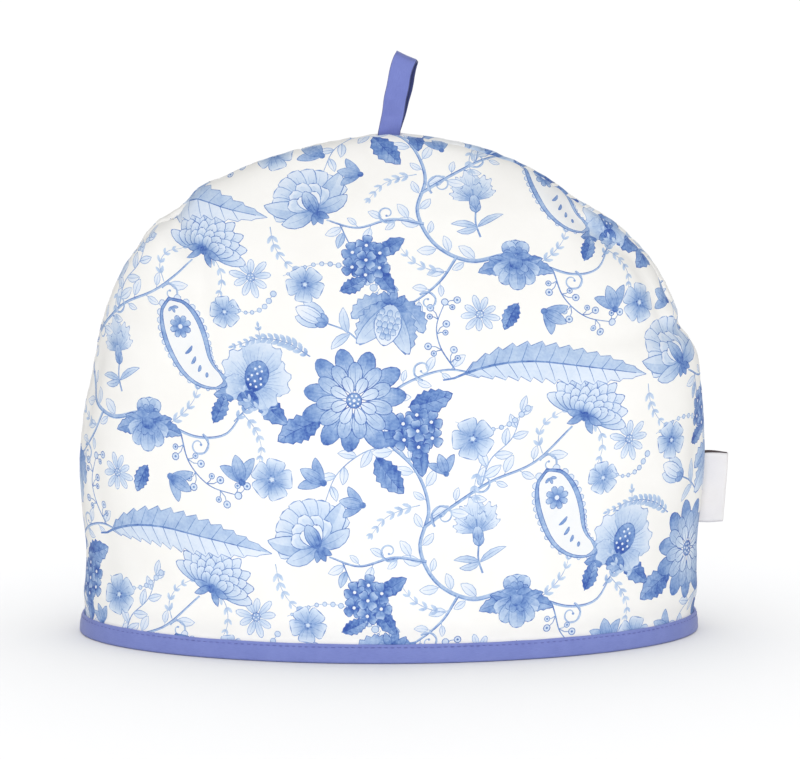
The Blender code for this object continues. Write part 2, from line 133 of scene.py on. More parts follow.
# How far the top of the outline is lifted, across the cosy.
CROWN = table(
    "across lift",
    (-130 * MM, 0.0 * MM),
    (-112 * MM, 2.2 * MM),
    (-99 * MM, -0.8 * MM),
    (-89 * MM, 2.6 * MM),
    (-76 * MM, 0.6 * MM),
    (-56 * MM, 0.5 * MM),
    (-28 * MM, 0.5 * MM),
    (0 * MM, 1.2 * MM),
    (28 * MM, 0.2 * MM),
    (47 * MM, -0.6 * MM),
    (62 * MM, -1.4 * MM),
    (75 * MM, -2.6 * MM),
    (90 * MM, -4.6 * MM),
    (99 * MM, -4.0 * MM),
    (110 * MM, -1.2 * MM),
    (122 * MM, 0.0 * MM),
)

# Sideways wander of the seam over the crown, towards the back when positive.
WANDER = table(
    "across back",
    (-150 * MM, 0.0 * MM),
    (-95 * MM, 1.5 * MM),
    (-45 * MM, 2.4 * MM),
    (0 * MM, 0.8 * MM),
    (45 * MM, -2.4 * MM),
    (66 * MM, -1.6 * MM),
    (96 * MM, -3.6 * MM),
    (150 * MM, 0.0 * MM),
)

# Extra fullness of the padding beside the seam, on each panel.
PUFF = table(
    "across front back",
    (-150 * MM, 0.0 * MM, 0.0 * MM),
    (-90 * MM, 0.6 * MM, -0.8 * MM),
    (-45 * MM, 0.8 * MM, -1.0 * MM),
    (0 * MM, 0.4 * MM, 0.4 * MM),
    (24 * MM, 0.0 * MM, 2.2 * MM),
    (44 * MM, -0.6 * MM, 3.0 * MM),
    (58 * MM, -0.2 * MM, 1.2 * MM),
    (70 * MM, 0.0 * MM, 1.0 * MM),
    (84 * MM, -0.7 * MM, 3.0 * MM),
    (100 * MM, -1.0 * MM, 4.2 * MM),
    (116 * MM, -0.6 * MM, 3.6 * MM),
    (132 * MM, 0.0 * MM, 1.2 * MM),
    (150 * MM, 0.0 * MM, 0.0 * MM),
)
PUFF_AT, PUFF_SPREAD = 11.0 * MM, 9.0 * MM     # from the seam to the fullest line

# Main soft troughs of each panel: the middle of the trough in the flat panel
# (across, up), the way it runs, its half length and half width, and its depth
# (a ridge where the depth is negative).
FOLDS = table(
    "panel across up runs half_length half_width depth",
    (-1, -118 * MM, 214 * MM, -38, 34 * MM, 7.0 * MM, 2.2 * MM),
    (-1, -96 * MM, 196 * MM, -80, 36 * MM, 8.0 * MM, 1.0 * MM),
    (-1, 150 * MM, 168 * MM, 200, 30 * MM, 8.0 * MM, 2.0 * MM),
    (-1, -150 * MM, 140 * MM, 60, 26 * MM, 9.0 * MM, 1.1 * MM),
    (-1, 92 * MM, 218 * MM, 120, 34 * MM, 10.0 * MM, 1.1 * MM),
    (-1, -30 * MM, 60 * MM, 12, 60 * MM, 18.0 * MM, 0.9 * MM),
    (1, 108 * MM, 206 * MM, 140, 36 * MM, 8.0 * MM, 1.8 * MM),
    (1, -126 * MM, 176 * MM, -55, 34 * MM, 9.0 * MM, 1.6 * MM),
    (1, 24 * MM, 70 * MM, -10, 62 * MM, 18.0 * MM, 1.0 * MM),
)


def smooth(t):
    t = np.clip(t, 0.0, 1.0)
    return t * t * (3.0 - 2.0 * t)


def read(tab, key, column, x):
    """Read a column between its rows with a smooth curve that never overshoots."""
    xs, ys = tab[key], tab[column]
    h = np.diff(xs)
    slope = np.diff(ys) / h
    tangent = np.zeros_like(ys)
    same = slope[:-1] * slope[1:] > 0
    tangent[1:-1][same] = 2.0 * (slope[:-1] * slope[1:])[same] / (slope[:-1] + slope[1:])[same]
    x = np.clip(np.asarray(x, dtype=float), xs[0], xs[-1])
    i = np.clip(np.searchsorted(xs, x, side="right") - 1, 0, len(h) - 1)
    t = (x - xs[i]) / h[i]
    return (
        ys[i] * (1 + 2 * t) * (1 - t) ** 2
        + tangent[i] * h[i] * t * (1 - t) ** 2
        + ys[i + 1] * t * t * (3 - 2 * t)
        + tangent[i + 1] * h[i] * t * t * (t - 1)
    )


# --------------------------------------------------------------------------
# The plain dome: w is 1 at the hem and 0 at the crest, theta runs 0..pi from
# the left seam round the panel to the right seam.
# --------------------------------------------------------------------------
def plain(theta, w):
    z = CREST * (1.0 - w * w)
    full = np.clip(1.0 - (z / CREST) ** DOME_POWER, 0.0, 1.0)
    g = np.sqrt(full)
    s = np.sin(theta)
    x = -HALF_WIDTH * g * np.cos(theta)
    lens = LENS_HEM + (LENS_CREST - LENS_HEM) * (z / CREST) ** 2
    y = read(DEPTH, "height", "half_depth", z) * g * s * (1.0 - lens * (1.0 - full * s * s))
    return x, y, z


def outward(theta, w):
    """Unit normal of the plain dome, pointing out (for the +y half)."""
    w = np.maximum(w, 0.02)
    e = 1e-3
    a = np.stack(plain(theta + e, w), -1) - np.stack(plain(theta - e, w), -1)
    b = np.stack(plain(theta, w - e), -1) - np.stack(plain(theta, w + e), -1)
    n = np.cross(b, a)
    return n / np.linalg.norm(n, axis=-1, keepdims=True)


# Flat pattern of a panel: v is measured up its middle, u along each level
# section, from that middle.
W_STEPS = np.linspace(0.0, 1.0, 241)
T_STEPS = np.linspace(0.0, math.pi, 241)


def flat_pattern():
    th, w = np.meshgrid(T_STEPS, W_STEPS)
    p = np.stack(plain(th, w), -1)
    step = np.linalg.norm(np.diff(p, axis=1), axis=-1)
    run = np.concatenate([np.zeros((len(W_STEPS), 1)), np.cumsum(step, axis=1)], axis=1)
    half = run[:, -1] / 2.0
    frac = np.linspace(0.0, 1.0, 241)
    inverse = np.empty((len(W_STEPS), len(frac)))
    for j in range(1, len(W_STEPS)):
        inverse[j] = np.interp(frac, run[j] / run[j, -1], T_STEPS)
    inverse[0] = inverse[1]
    mid = np.stack(plain(np.full_like(W_STEPS, math.pi / 2), W_STEPS), -1)
    up = np.concatenate([[0.0], np.cumsum(np.linalg.norm(np.diff(mid, axis=0), axis=-1))])
    return half, up[-1] - up, inverse


HALF_U, V_OF_W, THETA_OF = flat_pattern()
V_TOP = V_OF_W[0]


def w_at(v):
    return np.interp(V_TOP - np.asarray(v, dtype=float), V_TOP - V_OF_W, W_STEPS)


def v_at_height(z):
    return np.interp(math.sqrt(max(0.0, 1.0 - z / CREST)), W_STEPS, V_OF_W)


def half_u(v):
    return np.interp(w_at(v), W_STEPS, HALF_U)


def theta_at(u, w):
    f = np.clip(0.5 + 0.5 * u / np.maximum(np.interp(w, W_STEPS, HALF_U), 1e-9), 0.0, 1.0)
    wi = np.clip(w * 240.0, 0.0, 240.0)
    fi = f * 240.0
    i, j = np.minimum(wi.astype(int), 239), np.minimum(fi.astype(int), 239)
    a, b = wi - i, fi - j
    return (
        THETA_OF[i, j] * (1 - a) * (1 - b)
        + THETA_OF[i + 1, j] * a * (1 - b)
        + THETA_OF[i, j + 1] * (1 - a) * b
        + THETA_OF[i + 1, j + 1] * a * b
    )


def from_seam(u, v):
    """Distance from the curved seam, in the flat panel."""
    du = np.maximum(half_u(v) - np.abs(u), 0.0)
    dv = np.maximum(np.interp(np.abs(u), HALF_U, V_OF_W) - v, 0.0)
    return du * dv / np.maximum(np.hypot(du, dv), 1e-9)


def folded(u, v, panel):
    """Depth of the soft troughs at a place of one panel."""
    total = np.zeros_like(u)
    for k in range(len(FOLDS["panel"])):
        if FOLDS["panel"][k] != panel:
            continue
        c, s = math.cos(math.radians(FOLDS["runs"][k])), math.sin(math.radians(FOLDS["runs"][k]))
        du, dv = u - FOLDS["across"][k], v - FOLDS["up"][k]
        along = (du * c + dv * s) / FOLDS["half_length"][k]
        side = (-du * s + dv * c) / FOLDS["half_width"][k]
        total += FOLDS["depth"][k] * np.exp(-(along ** 2) ** 1.5 - side ** 2)
    return total


def place(u, v, panel, inset, gap=0.0):
    """A point of a panel (-1 front, 1 back), set in from the dome's surface."""
    w = w_at(v)
    th = theta_at(u, w)
    x, y, z = plain(th, w)
    n = outward(th, w)
    x = x - n[..., 0] * inset
    y = np.maximum(y - n[..., 1] * inset, 0.0)
    z = z - n[..., 2] * inset
    # uneven outline
    reach = np.abs(x) / HALF_WIDTH
    side = np.where(x < 0, read(SIDES, "height", "left", z), read(SIDES, "height", "right", z))
    x = x + np.sign(x) * side * smooth(reach)
    z = z + read(CROWN, "across", "lift", x) * smooth((z / CREST - 0.55) / 0.4)
    # the slit between the panels
    y = panel * (y + gap * np.exp(-y / (8.0 * MM)))
    y = y + read(WANDER, "across", "back", x) * (np.clip(z, 0, None) / CREST) ** 3
    return x + CENTRE_X, y + CENTRE_Y, z


def slit(x, z):
    """Half the gap between the panels, wider where the loop and tag go in."""
    x = x - CENTRE_X
    loop = smooth((12.0 * MM - np.abs(x - LOOP_AT)) / (5.5 * MM)) * (z > CREST * 0.8)
    mid, half = (TAG_LOW + TAG_HIGH) / 2, (TAG_HIGH - TAG_LOW) / 2
    tag = smooth((half + 8.0 * MM - np.abs(z - mid)) / (6.5 * MM)) * (x > 0.5 * HALF_WIDTH)
    wide_loop = LOOP_TAPE + CLEAR + 0.05 * MM
    wide_tag = TAG_CLOTH + TAG_SLOT / 2 + CLEAR + 0.05 * MM
    return SEAM_GAP + loop * (wide_loop - SEAM_GAP) + tag * (wide_tag - SEAM_GAP)


LOOP_AT = -0.4 * MM            # where the loop leaves the crest


LOOP_SHAPE = table(            # up the loop: lean to the right, half gap inside
    "up lean half_gap",
    (0.0 * MM, 0.0 * MM, 0.05 * MM),
    (5.0 * MM, 1.1 * MM, 0.6 * MM),
    (10.0 * MM, 2.2 * MM, 1.5 * MM),
    (15.0 * MM, 3.3 * MM, 3.0 * MM),
    (20.0 * MM, 4.4 * MM, 4.0 * MM),
    (26.0 * MM, 5.6 * MM, 4.4 * MM),
    (31.0 * MM, 6.7 * MM, 4.2 * MM),
    (34.0 * MM, 7.4 * MM, 3.2 * MM),
    (36.0 * MM, 8.0 * MM, 1.7 * MM),
    (36.8 * MM, 8.3 * MM, 0.0 * MM),
)


def outer_inset(u, v, panel):
    """How far the cloth is set in: under the binding, and in the seam groove."""
    w = w_at(v)
    z = CREST * (1.0 - w * w)
    d = from_seam(u, v)
    x = plain(theta_at(u, w), w)[0]
    puff = read(PUFF, "across", "front" if panel < 0 else "back", x)
    puff = puff * np.exp(-(((d - PUFF_AT) / PUFF_SPREAD) ** 2)) * smooth((z / CREST - 0.5) / 0.25)
    clear_of_hem = smooth((z - 10.0 * MM) / (14.0 * MM))
    under = (BINDING_CLOTH + CLEAR) * (1.0 - clear_of_hem) - 0.3 * MM * clear_of_hem
    groove = GROOVE_DEPTH * np.clip(1.0 - d / GROOVE_WIDTH, 0.0, 1.0) ** 2
    return under - puff + groove * smooth((z - 9.5 * MM) / (18.0 * MM))


def wall(u, v):
    z = CREST * (1.0 - w_at(v) ** 2)
    d = from_seam(u, v)
    full = WALL_AT_SEAM + (WALL - WALL_AT_SEAM) * smooth(d / WALL_GROWS)
    up = smooth((z - 9.5 * MM) / (26.0 * MM))
    return WALL_AT_HEM + (full - WALL_AT_HEM) * up


# ==========================================================================
# Printed pattern: how a painted shape is drawn
# ==========================================================================
TAU = 2 * math.pi


class Ink:
    """Painted shapes on flat cloth, in millimetres, later ones on top."""

    def __init__(self):
        self.pts = []
        self.faces = []      # (prim, [point indices])
        self.edges = []      # outlines, as pairs of point indices
        self.prims = []      # per primitive: frame and tone terms
        self.T = (1.0, 0.0, 0.0, 1.0, 0.0, 0.0)   # a b c d tx ty : x' = a x + c y + tx
        self.scale = 1.0
        self.weight = 1.0
        self.seed = 0.0

    # -- placing -----------------------------------------------------------
    def at(self, x, y, angle=0.0, scale=1.0, flip=False):
        return _Placed(self, x, y, angle, scale, flip)

    def _w(self, p):
        a, b, c, d, tx, ty = self.T
        return (a * p[0] + c * p[1] + tx, b * p[0] + d * p[1] + ty)

    def _add(self, pts):
        n = len(self.pts)
        self.pts.extend(self._w(p) for p in pts)
        return n

    def _prim(self, origin, axis, half, tone):
        """A shape's own frame: a along its axis from 0 to 1, b across, -1..1."""
        ox, oy = self._w(origin)
        ex, ey = self._w((origin[0] + axis[0], origin[1] + axis[1]))
        ax, ay = ex - ox, ey - oy
        l2 = max(ax * ax + ay * ay, 1e-9)
        ln = math.sqrt(l2)
        hw = max(half * self.scale, 1e-6)
        t = list(tone) + [0.0] * (6 - len(tone))
        self.prims.append((ox, oy, ax / l2, ay / l2, -ay / ln / hw, ax / ln / hw, *t, self.seed))
        return len(self.prims) - 1

    def poly(self, pts, tone, origin=None, axis=None, half=1.0):
        """tone: c0 + c1 a + c2 a^2 + c3 |b| + c4 b^2 + c5 b"""
        if origin is None:
            origin, axis = pts[0], (1.0, 0.0)
        k = self._prim(origin, axis, half, tone if isinstance(tone, (tuple, list)) else (tone,))
        n, m = self._add(pts), len(pts)
        self.faces.append((k, list(range(n, n + m))))
        self.edges += [(n + i, n + (i + 1) % m) for i in range(m)]
        return k

    def ribbon(self, left, right, tone, origin=None, axis=None, half=1.0, closed=False):
        if origin is None:
            origin = left[0]
            axis = (left[-1][0] - left[0][0] + 1e-6, left[-1][1] - left[0][1])
            if math.hypot(*axis) < 1e-3:
                axis = (1.0, 0.0)
        k = self._prim(origin, axis, half, tone if isinstance(tone, (tuple, list)) else (tone,))
        a = self._add(left)
        b = self._add(right)
        n = len(left)
        for i in range(n - 1 if not closed else n):
            j = (i + 1) % n
            self.faces.append((k, [a + i, a + j, b + j, b + i]))
            self.edges += [(a + i, a + j), (b + i, b + j)]
        if not closed:
            self.edges += [(a, b), (a + n - 1, b + n - 1)]
        return k

    # -- marks -------------------------------------------------------------
    def stroke(self, path, w0, w1=None, tone=0.7, mid=None):
        """A brush line along a path; widths in mm at its start, middle and end."""
        p = np.asarray(path, float)
        n = len(p)
        w1 = w0 if w1 is None else w1
        t = np.linspace(0, 1, n)
        if mid is None:
            w = w0 + (w1 - w0) * t
        else:
            w = np.interp(t, [0, 0.5, 1], [w0, mid, w1])
        w = np.maximum(w, 0.10) / self.scale / 2
        d = np.gradient(p, axis=0)
        d /= np.maximum(np.linalg.norm(d, axis=1, keepdims=True), 1e-9)
        nn = np.stack([-d[:, 1], d[:, 0]], -1)
        left = p + nn * w[:, None]
        right = p - nn * w[:, None]
        return self.ribbon(left.tolist(), right.tolist(), tone)

    def dot(self, x, y, r, tone=0.7, n=9, tone2=None):
        pts = [(x + r * math.cos(TAU * i / n), y + r * math.sin(TAU * i / n)) for i in range(n)]
        t = tone if tone2 is None else (tone, 0, 0, 0, 0)
        return self.poly(pts, t if isinstance(t, tuple) else (t,), (x, y), (r, 0), r)

    def ring(self, x, y, r, w, tone=0.7, fill=None, n=12):
        w = w / self.scale
        if fill is not None:
            self.dot(x, y, r, fill, n)
        out = [(x + r * math.cos(TAU * i / n), y + r * math.sin(TAU * i / n)) for i in range(n)]
        inn = [(x + (r - w) * math.cos(TAU * i / n), y + (r - w) * math.sin(TAU * i / n)) for i in range(n)]
        return self.ribbon(out, inn, tone, (x - r, y), (2 * r, 0), r, closed=True)

    def petal(self, x, y, ang, L, W, p=0.75, q=0.7, bend=0.0, tone=(0.5, 0.2), line=0.7,
              lw=0.42, veins=0, vein=0.65, n=7, half=None, edge=0.0, lobes=0, lobe=0.0,
              hollow=None, inner=None):
        """A petal or leaf from (x, y) along ang degrees, tone at base and tip."""
        c, s = math.cos(math.radians(ang)), math.sin(math.radians(ang))
        a = np.concatenate([[0.0], (1 - np.cos(np.linspace(0, math.pi, n + 2)[1:-1])) / 2, [1.0]])
        if lobes:
            m = lobes * 2
            a = np.linspace(0, 1, m + 1)
        peak = p / (p + q)
        norm = peak ** p * (1 - peak) ** q
        h = W / 2 * np.power(np.maximum(a, 0), p) * np.power(np.maximum(1 - a, 0), q) / norm
        if lobes:
            h = h * (1 + lobe * np.where(np.arange(len(a)) % 2 == 1, 1.0, -0.35))
            h[0] = h[-1] = 0.0
        # centre line: an arc that turns by bend radians
        th = bend * a
        if abs(bend) > 1e-6:
            cx, cy = L * np.sin(th) / bend, L * (1 - np.cos(th)) / bend
        else:
            cx, cy = L * a, 0 * a
        C = np.stack([cx, cy], -1)
        N = np.stack([-np.sin(th), np.cos(th)], -1)
        left, right = C + N * h[:, None], C - N * h[:, None]
        R = np.array([[c, s], [-s, c]])

        def w(P):
            P = np.asarray(P) @ R
            return [(q0 + x, q1 + y) for q0, q1 in P]

        out = np.concatenate([left, right[-2:0:-1]])
        axis = w([C[-1]])[0]
        axis = (axis[0] - x, axis[1] - y)
        t0, t1 = tone[0], tone[1]
        tm = tone[2] if len(tone) > 2 else None
        if tm is None:
            terms = (t0, t1 - t0, 0.0, edge, 0.0)
        else:
            c2 = 2 * t0 + 2 * t1 - 4 * tm
            terms = (t0, t1 - t0 - c2, c2, edge, 0.0)
        self.poly(w(out[::-1]), terms, (x, y), axis, W / 2)
        if half is not None:
            hp = np.concatenate([C, left[-2:0:-1]])
            if half < 0:
                hp = np.concatenate([C, right[-2:0:-1]])
                self.poly(w(hp), tuple(np.array(terms[:3]) + [abs(half), 0, 0]), (x, y), axis, W / 2)
            else:
                self.poly(w(hp), tuple(np.array(terms[:3]) + [half, 0, 0]), (x, y), axis, W / 2)
        if inner is not None:
            f, t = inner
            aa = np.linspace(0.12, 0.86, 7)
            hh = np.interp(aa, a, h) * f
            cc = np.stack([np.interp(aa, a, C[:, 0]), np.interp(aa, a, C[:, 1])], -1)
            nn = np.stack([-np.sin(bend * aa), np.cos(bend * aa)], -1)
            hh[0] *= 0.2
            hh[-1] *= 0.2
            pp = np.concatenate([cc + nn * hh[:, None], (cc - nn * hh[:, None])[-1::-1]])
            self.poly(w(pp[::-1]), (t,), (x, y), axis, W / 2)
        for k in range(veins):
            f = 0.0 if veins == 1 else (k / (veins - 1) * 2 - 1) * 0.62
            aa = np.linspace(0.04, 0.80 - 0.22 * abs(f), 6)
            hh = np.interp(aa, a, h) * f
            cc = np.stack([np.interp(aa, a, C[:, 0]), np.interp(aa, a, C[:, 1])], -1)
            nn = np.stack([-np.sin(bend * aa), np.cos(bend * aa)], -1)
            self.stroke(w(cc + nn * hh[:, None]), lw * 0.95, 0.12, vein)
        if line is not None:
            ll = lw / self.scale
            hin = np.maximum(h - ll, 0.0)
            Cin = C.copy()
            # pull the ends of the inner edge along the centre line
            e = min(0.25, 1.6 * ll / max(L, 1e-6))
            Cin[0] = [np.interp(e, a, C[:, 0]), np.interp(e, a, C[:, 1])]
            Cin[-1] = [np.interp(1 - e, a, C[:, 0]), np.interp(1 - e, a, C[:, 1])]
            inl, inr = Cin + N * hin[:, None], Cin - N * hin[:, None]
            inn = np.concatenate([inl, inr[-2:0:-1]])
            self.ribbon(w(out[::-1]), w(inn[::-1]), line, (x, y), axis, W / 2, closed=True)

    def leaf(self, x, y, ang, L, W, bend=0.0, tone=(0.45, 0.2), line=0.66, rib=0.7, side=0.12,
             lw=0.4, lobes=0, lobe=0.0, p=0.8, q=0.95, ribs=0):
        self.petal(x, y, ang, L, W, p, q, bend, tone, line, lw, 0, n=6, half=side, lobes=lobes, lobe=lobe)
        c, s = math.cos(math.radians(ang)), math.sin(math.radians(ang))

        def C(a):
            th = bend * a
            if abs(bend) > 1e-6:
                X, Y = L * math.sin(th) / bend, L * (1 - math.cos(th)) / bend
            else:
                X, Y = L * a, 0.0
            return (x + X * c - Y * s, y + X * s + Y * c)

        if rib is not None:
            self.stroke([C(a) for a in np.linspace(-0.02, 0.92, 6)], lw * 1.15, 0.15, rib)
        for k in range(ribs):
            a0 = 0.18 + 0.62 * k / max(ribs - 1, 1)
            for sd in (-1, 1):
                b = C(a0)
                hh = W / 2 * 0.72 * (1 - abs(2 * a0 - 0.95)) ** 0.5
                th = math.radians(ang) + bend * a0 + sd * 0.75
                e = (b[0] + hh * 1.15 * math.cos(th), b[1] + hh * 1.15 * math.sin(th))
                self.stroke([b, ((b[0] + e[0]) / 2, (b[1] + e[1]) / 2), e], lw * 0.8, 0.12, rib)


class _Placed:
    def __init__(self, ink, x, y, angle, scale, flip):
        self.ink = ink
        c, s = math.cos(math.radians(angle)) * scale, math.sin(math.radians(angle)) * scale
        f = -1.0 if flip else 1.0
        self.M = (c * f, s * f, -s, c, x, y)
        self.k = scale

    def __enter__(self):
        ink = self.ink
        self.old = (ink.T, ink.scale, ink.seed)
        a, b, c, d, tx, ty = ink.T
        A, B, C, D, X, Y = self.M
        ink.T = (a * A + c * B, b * A + d * B, a * C + c * D, b * C + d * D,
                 a * X + c * Y + tx, b * X + d * Y + ty)
        ink.scale *= self.k
        return ink

    def __exit__(self, *e):
        self.ink.T, self.ink.scale, self.ink.seed = self.old


def curve(points, n=24):
    """A smooth line through a few given points."""
    P = np.asarray(points, float)
    if len(P) == 2:
        return [tuple(P[0] + (P[1] - P[0]) * t) for t in np.linspace(0, 1, n)]
    d = np.concatenate([[0], np.cumsum(np.sqrt(np.linalg.norm(np.diff(P, axis=0), axis=1)))])
    E = np.vstack([2 * P[0] - P[1], P, 2 * P[-1] - P[-2]])
    T = np.concatenate([[2 * d[0] - d[1]], d, [2 * d[-1] - d[-2]]])
    out = []
    for t in np.linspace(d[0], d[-1], n):
        i = int(np.clip(np.searchsorted(T, t, side='right') - 1, 1, len(P) - 1))
        t0, t1, t2, t3 = T[i - 1:i + 3]
        p0, p1, p2, p3 = E[i - 1:i + 3]
        a1 = (t1 - t) / (t1 - t0) * p0 + (t - t0) / (t1 - t0) * p1
        a2 = (t2 - t) / (t2 - t1) * p1 + (t - t1) / (t2 - t1) * p2
        a3 = (t3 - t) / (t3 - t2) * p2 + (t - t2) / (t3 - t2) * p3
        b1 = (t2 - t) / (t2 - t0) * a1 + (t - t0) / (t2 - t0) * a2
        b2 = (t3 - t) / (t3 - t1) * a2 + (t - t1) / (t3 - t1) * a3
        out.append(tuple((t2 - t) / (t2 - t1) * b1 + (t - t1) / (t2 - t1) * b2))
    return out


def heading(path, i):
    j0, j1 = max(i - 1, 0), min(i + 1, len(path) - 1)
    return math.degrees(math.atan2(path[j1][1] - path[j0][1], path[j1][0] - path[j0][0]))


# ==========================================================================
# Printed pattern: the motifs
# ==========================================================================
def polar(x, y, ang, r):
    return (x + r * math.cos(math.radians(ang)), y + r * math.sin(math.radians(ang)))


def dahlia(k):
    """A wide open flower of many narrow petals, darkest at their tips."""
    for n, r0, L, W, off, tone in ((11, 5.6, 18.6, 8.8, 0.0, (0.20, 0.78)), (11, 4.2, 14.0, 7.0, 16.4, (0.10, 0.54)),
                                   (8, 2.6, 9.0, 5.6, 7.0, (0.05, 0.34))):
        for i in range(n):
            a = 90 + off + 360 / n * i
            k.petal(*polar(0, 0, a, r0), a, L * (1 + 0.05 * math.sin(i * 2.3)), W, 0.9, 0.58, 0.12 * (-1) ** i,
                    tone, 0.84, 0.42, 1 if n < 11 else 3, 0.70, n=7)
    k.dot(0, 0, 3.7, 0.70, 12)
    k.ring(0, 0, 3.7, 0.36, 0.9, n=12)
    for i in range(7):
        k.dot(*polar(0, 0, 360 / 7 * i, 2.2), 0.55, 0.08, 6)
    k.dot(0, 0, 0.8, 0.08, 6)


def teardrop(length, start, turn, curl, curl_at, power=1.0, n=44):
    """Centre line of a curling drop: heading start, steady turn, then a curl."""
    a = np.linspace(0, 1, n)
    e = np.clip((a - curl_at) / (1 - curl_at), 0, 1)
    th = np.radians(start + turn * a + curl * e ** power)
    dx, dy = np.cos(th), np.sin(th)
    x = np.concatenate([[0], np.cumsum((dx[1:] + dx[:-1]) / 2)]) * length / (n - 1)
    y = np.concatenate([[0], np.cumsum((dy[1:] + dy[:-1]) / 2)]) * length / (n - 1)
    return a, np.stack([x, y], -1), th


def body(a, C, th, h, f=1.0, a0=0.0, a1=1.0, n=26):
    """Outline of a drop at a share f of its half width, between a0 and a1."""
    t = a0 + (a1 - a0) * (1 - np.cos(np.linspace(0, math.pi, n))) / 2
    cx, cy = np.interp(t, a, C[:, 0]), np.interp(t, a, C[:, 1])
    tt = np.interp(t, a, th)
    hh = np.interp(t, a, h) * f
    hh = hh * np.minimum(1, np.maximum(0, (t - a0) / 0.06)) ** 0.5 * np.minimum(1, np.maximum(0, (a1 - t) / 0.05)) ** 0.5
    N = np.stack([-np.sin(tt), np.cos(tt)], -1)
    P = np.stack([cx, cy], -1)
    return P + N * hh[:, None], P - N * hh[:, None], P, tt, hh


def drop_fill(k, L, R, tone):
    out = list(map(tuple, R)) + list(map(tuple, L[-2:0:-1]))
    k.poly(out, tone, tuple(R[0]), (R[len(R) // 2][0] - R[0][0] + 1e-4, R[len(R) // 2][1] - R[0][1]), 10)


def drop_line(k, L, R, w, tone):
    for S, sg in ((L, 1), (R, -1)):
        k.stroke([tuple(p) for p in S], w, w * 0.7, tone)


def boteh(k):
    """A plain drop with a bent tip: a scalloped edge, a white field, a rosette and crescents."""
    a, C, th = teardrop(64, 90, -10, 92, 0.50, 1.1)
    h = (np.clip(a, 0, 1) ** 0.55) * (np.clip(1 - a, 0, 1) ** 0.95)
    h = h / h.max() * 12.6
    L, R, P, T, H = body(a, C, th, h)

    def on(t, side=0.0, f=1.0):
        x, y = np.interp(t, a, C[:, 0]), np.interp(t, a, C[:, 1])
        tt, hh = np.interp(t, a, th), np.interp(t, a, h)
        return x - math.sin(tt) * hh * f * side, y + math.cos(tt) * hh * f * side, math.degrees(tt)
    for t in np.linspace(0.035, 0.86, 14):
        for s in (1, -1):
            x, y, d = on(t, s)
            k.ring(x, y, 2.3 - 1.3 * t, 0.34, 0.56, 0.14, 8)
    drop_fill(k, L, R, (0.66, -0.16, 0.0, 0, 0))
    L2, R2, *_ = body(a, C, th, h, 0.80, 0.03, 0.90)
    drop_fill(k, L2, R2, (0.03,))
    drop_line(k, L2, R2, 0.36, 0.8)
    drop_line(k, L, R, 0.5, 0.84)
    x, y, d = on(0.27)
    for i in range(8):
        k.petal(*polar(x, y, 45 * i + d, 1.0), 45 * i + d, 5.6, 3.6, 0.8, 0.45, 0, (0.80, 0.30), 0.74, 0.34, n=4)
    k.dot(x, y, 1.7, 0.10, 9)
    k.ring(x, y, 1.7, 0.34, 0.8, n=9)
    for q, r in ((0.50, 3.4), (0.59, 2.7), (0.67, 2.1), (0.75, 1.5)):
        x, y, d = on(q)
        k.petal(*polar(x, y, d - 90, r), d + 90, 2 * r, 2.0, 0.6, 0.6, 0.9, (0.62, 0.62), 0.74, 0.3, n=4)
    x, y, d = on(0.085)
    for s in (-1, 0, 1):
        k.petal(x, y, d + s * 62, 3.8, 1.9, 0.8, 0.7, 0, (0.7, 0.4), 0.7, 0.3, n=4)


def peony(k):
    """A full round flower between pointed leaves."""
    for ang, L, W, b in ((168, 20, 8.5, 0.7), (12, 20, 8.5, -0.7), (146, 15, 6, 0.5), (34, 15, 6, -0.5)):
        k.leaf(0, 6, ang, L, W, b, (0.75, 0.45), 0.82, 0.9, 0.14, 0.42, 6, 0.16)
    for ang, L, W in ((90, 12, 8), (66, 12, 8), (114, 12, 8), (205, 13, 7.5), (-25, 13, 7.5), (236, 14, 8), (-56, 14, 8), (270, 15, 9)):
        k.petal(0, 9, ang, L, W, 0.8, 0.45, 0, (0.75, 0.22), 0.7, 0.42, 3, 0.75, half=0.1)
    for ang in (45, 75, 105, 135, 225, 250, 290, 315):
        k.petal(0, 9.5, ang, 8, 4.4, 0.8, 0.5, 0, (0.92, 0.5), 0.8, 0.35)
    k.petal(0, 13.5, 270, 8.5, 7, 0.6, 0.5, 0, (0.5, 0.85), 0.85, 0.4)
    for s in (-1, 1):
        k.petal(0, 11, 90 + s * 62, 8, 4, 0.7, 0.8, s * 0.6, (0.7, 0.5), 0.75, 0.35)


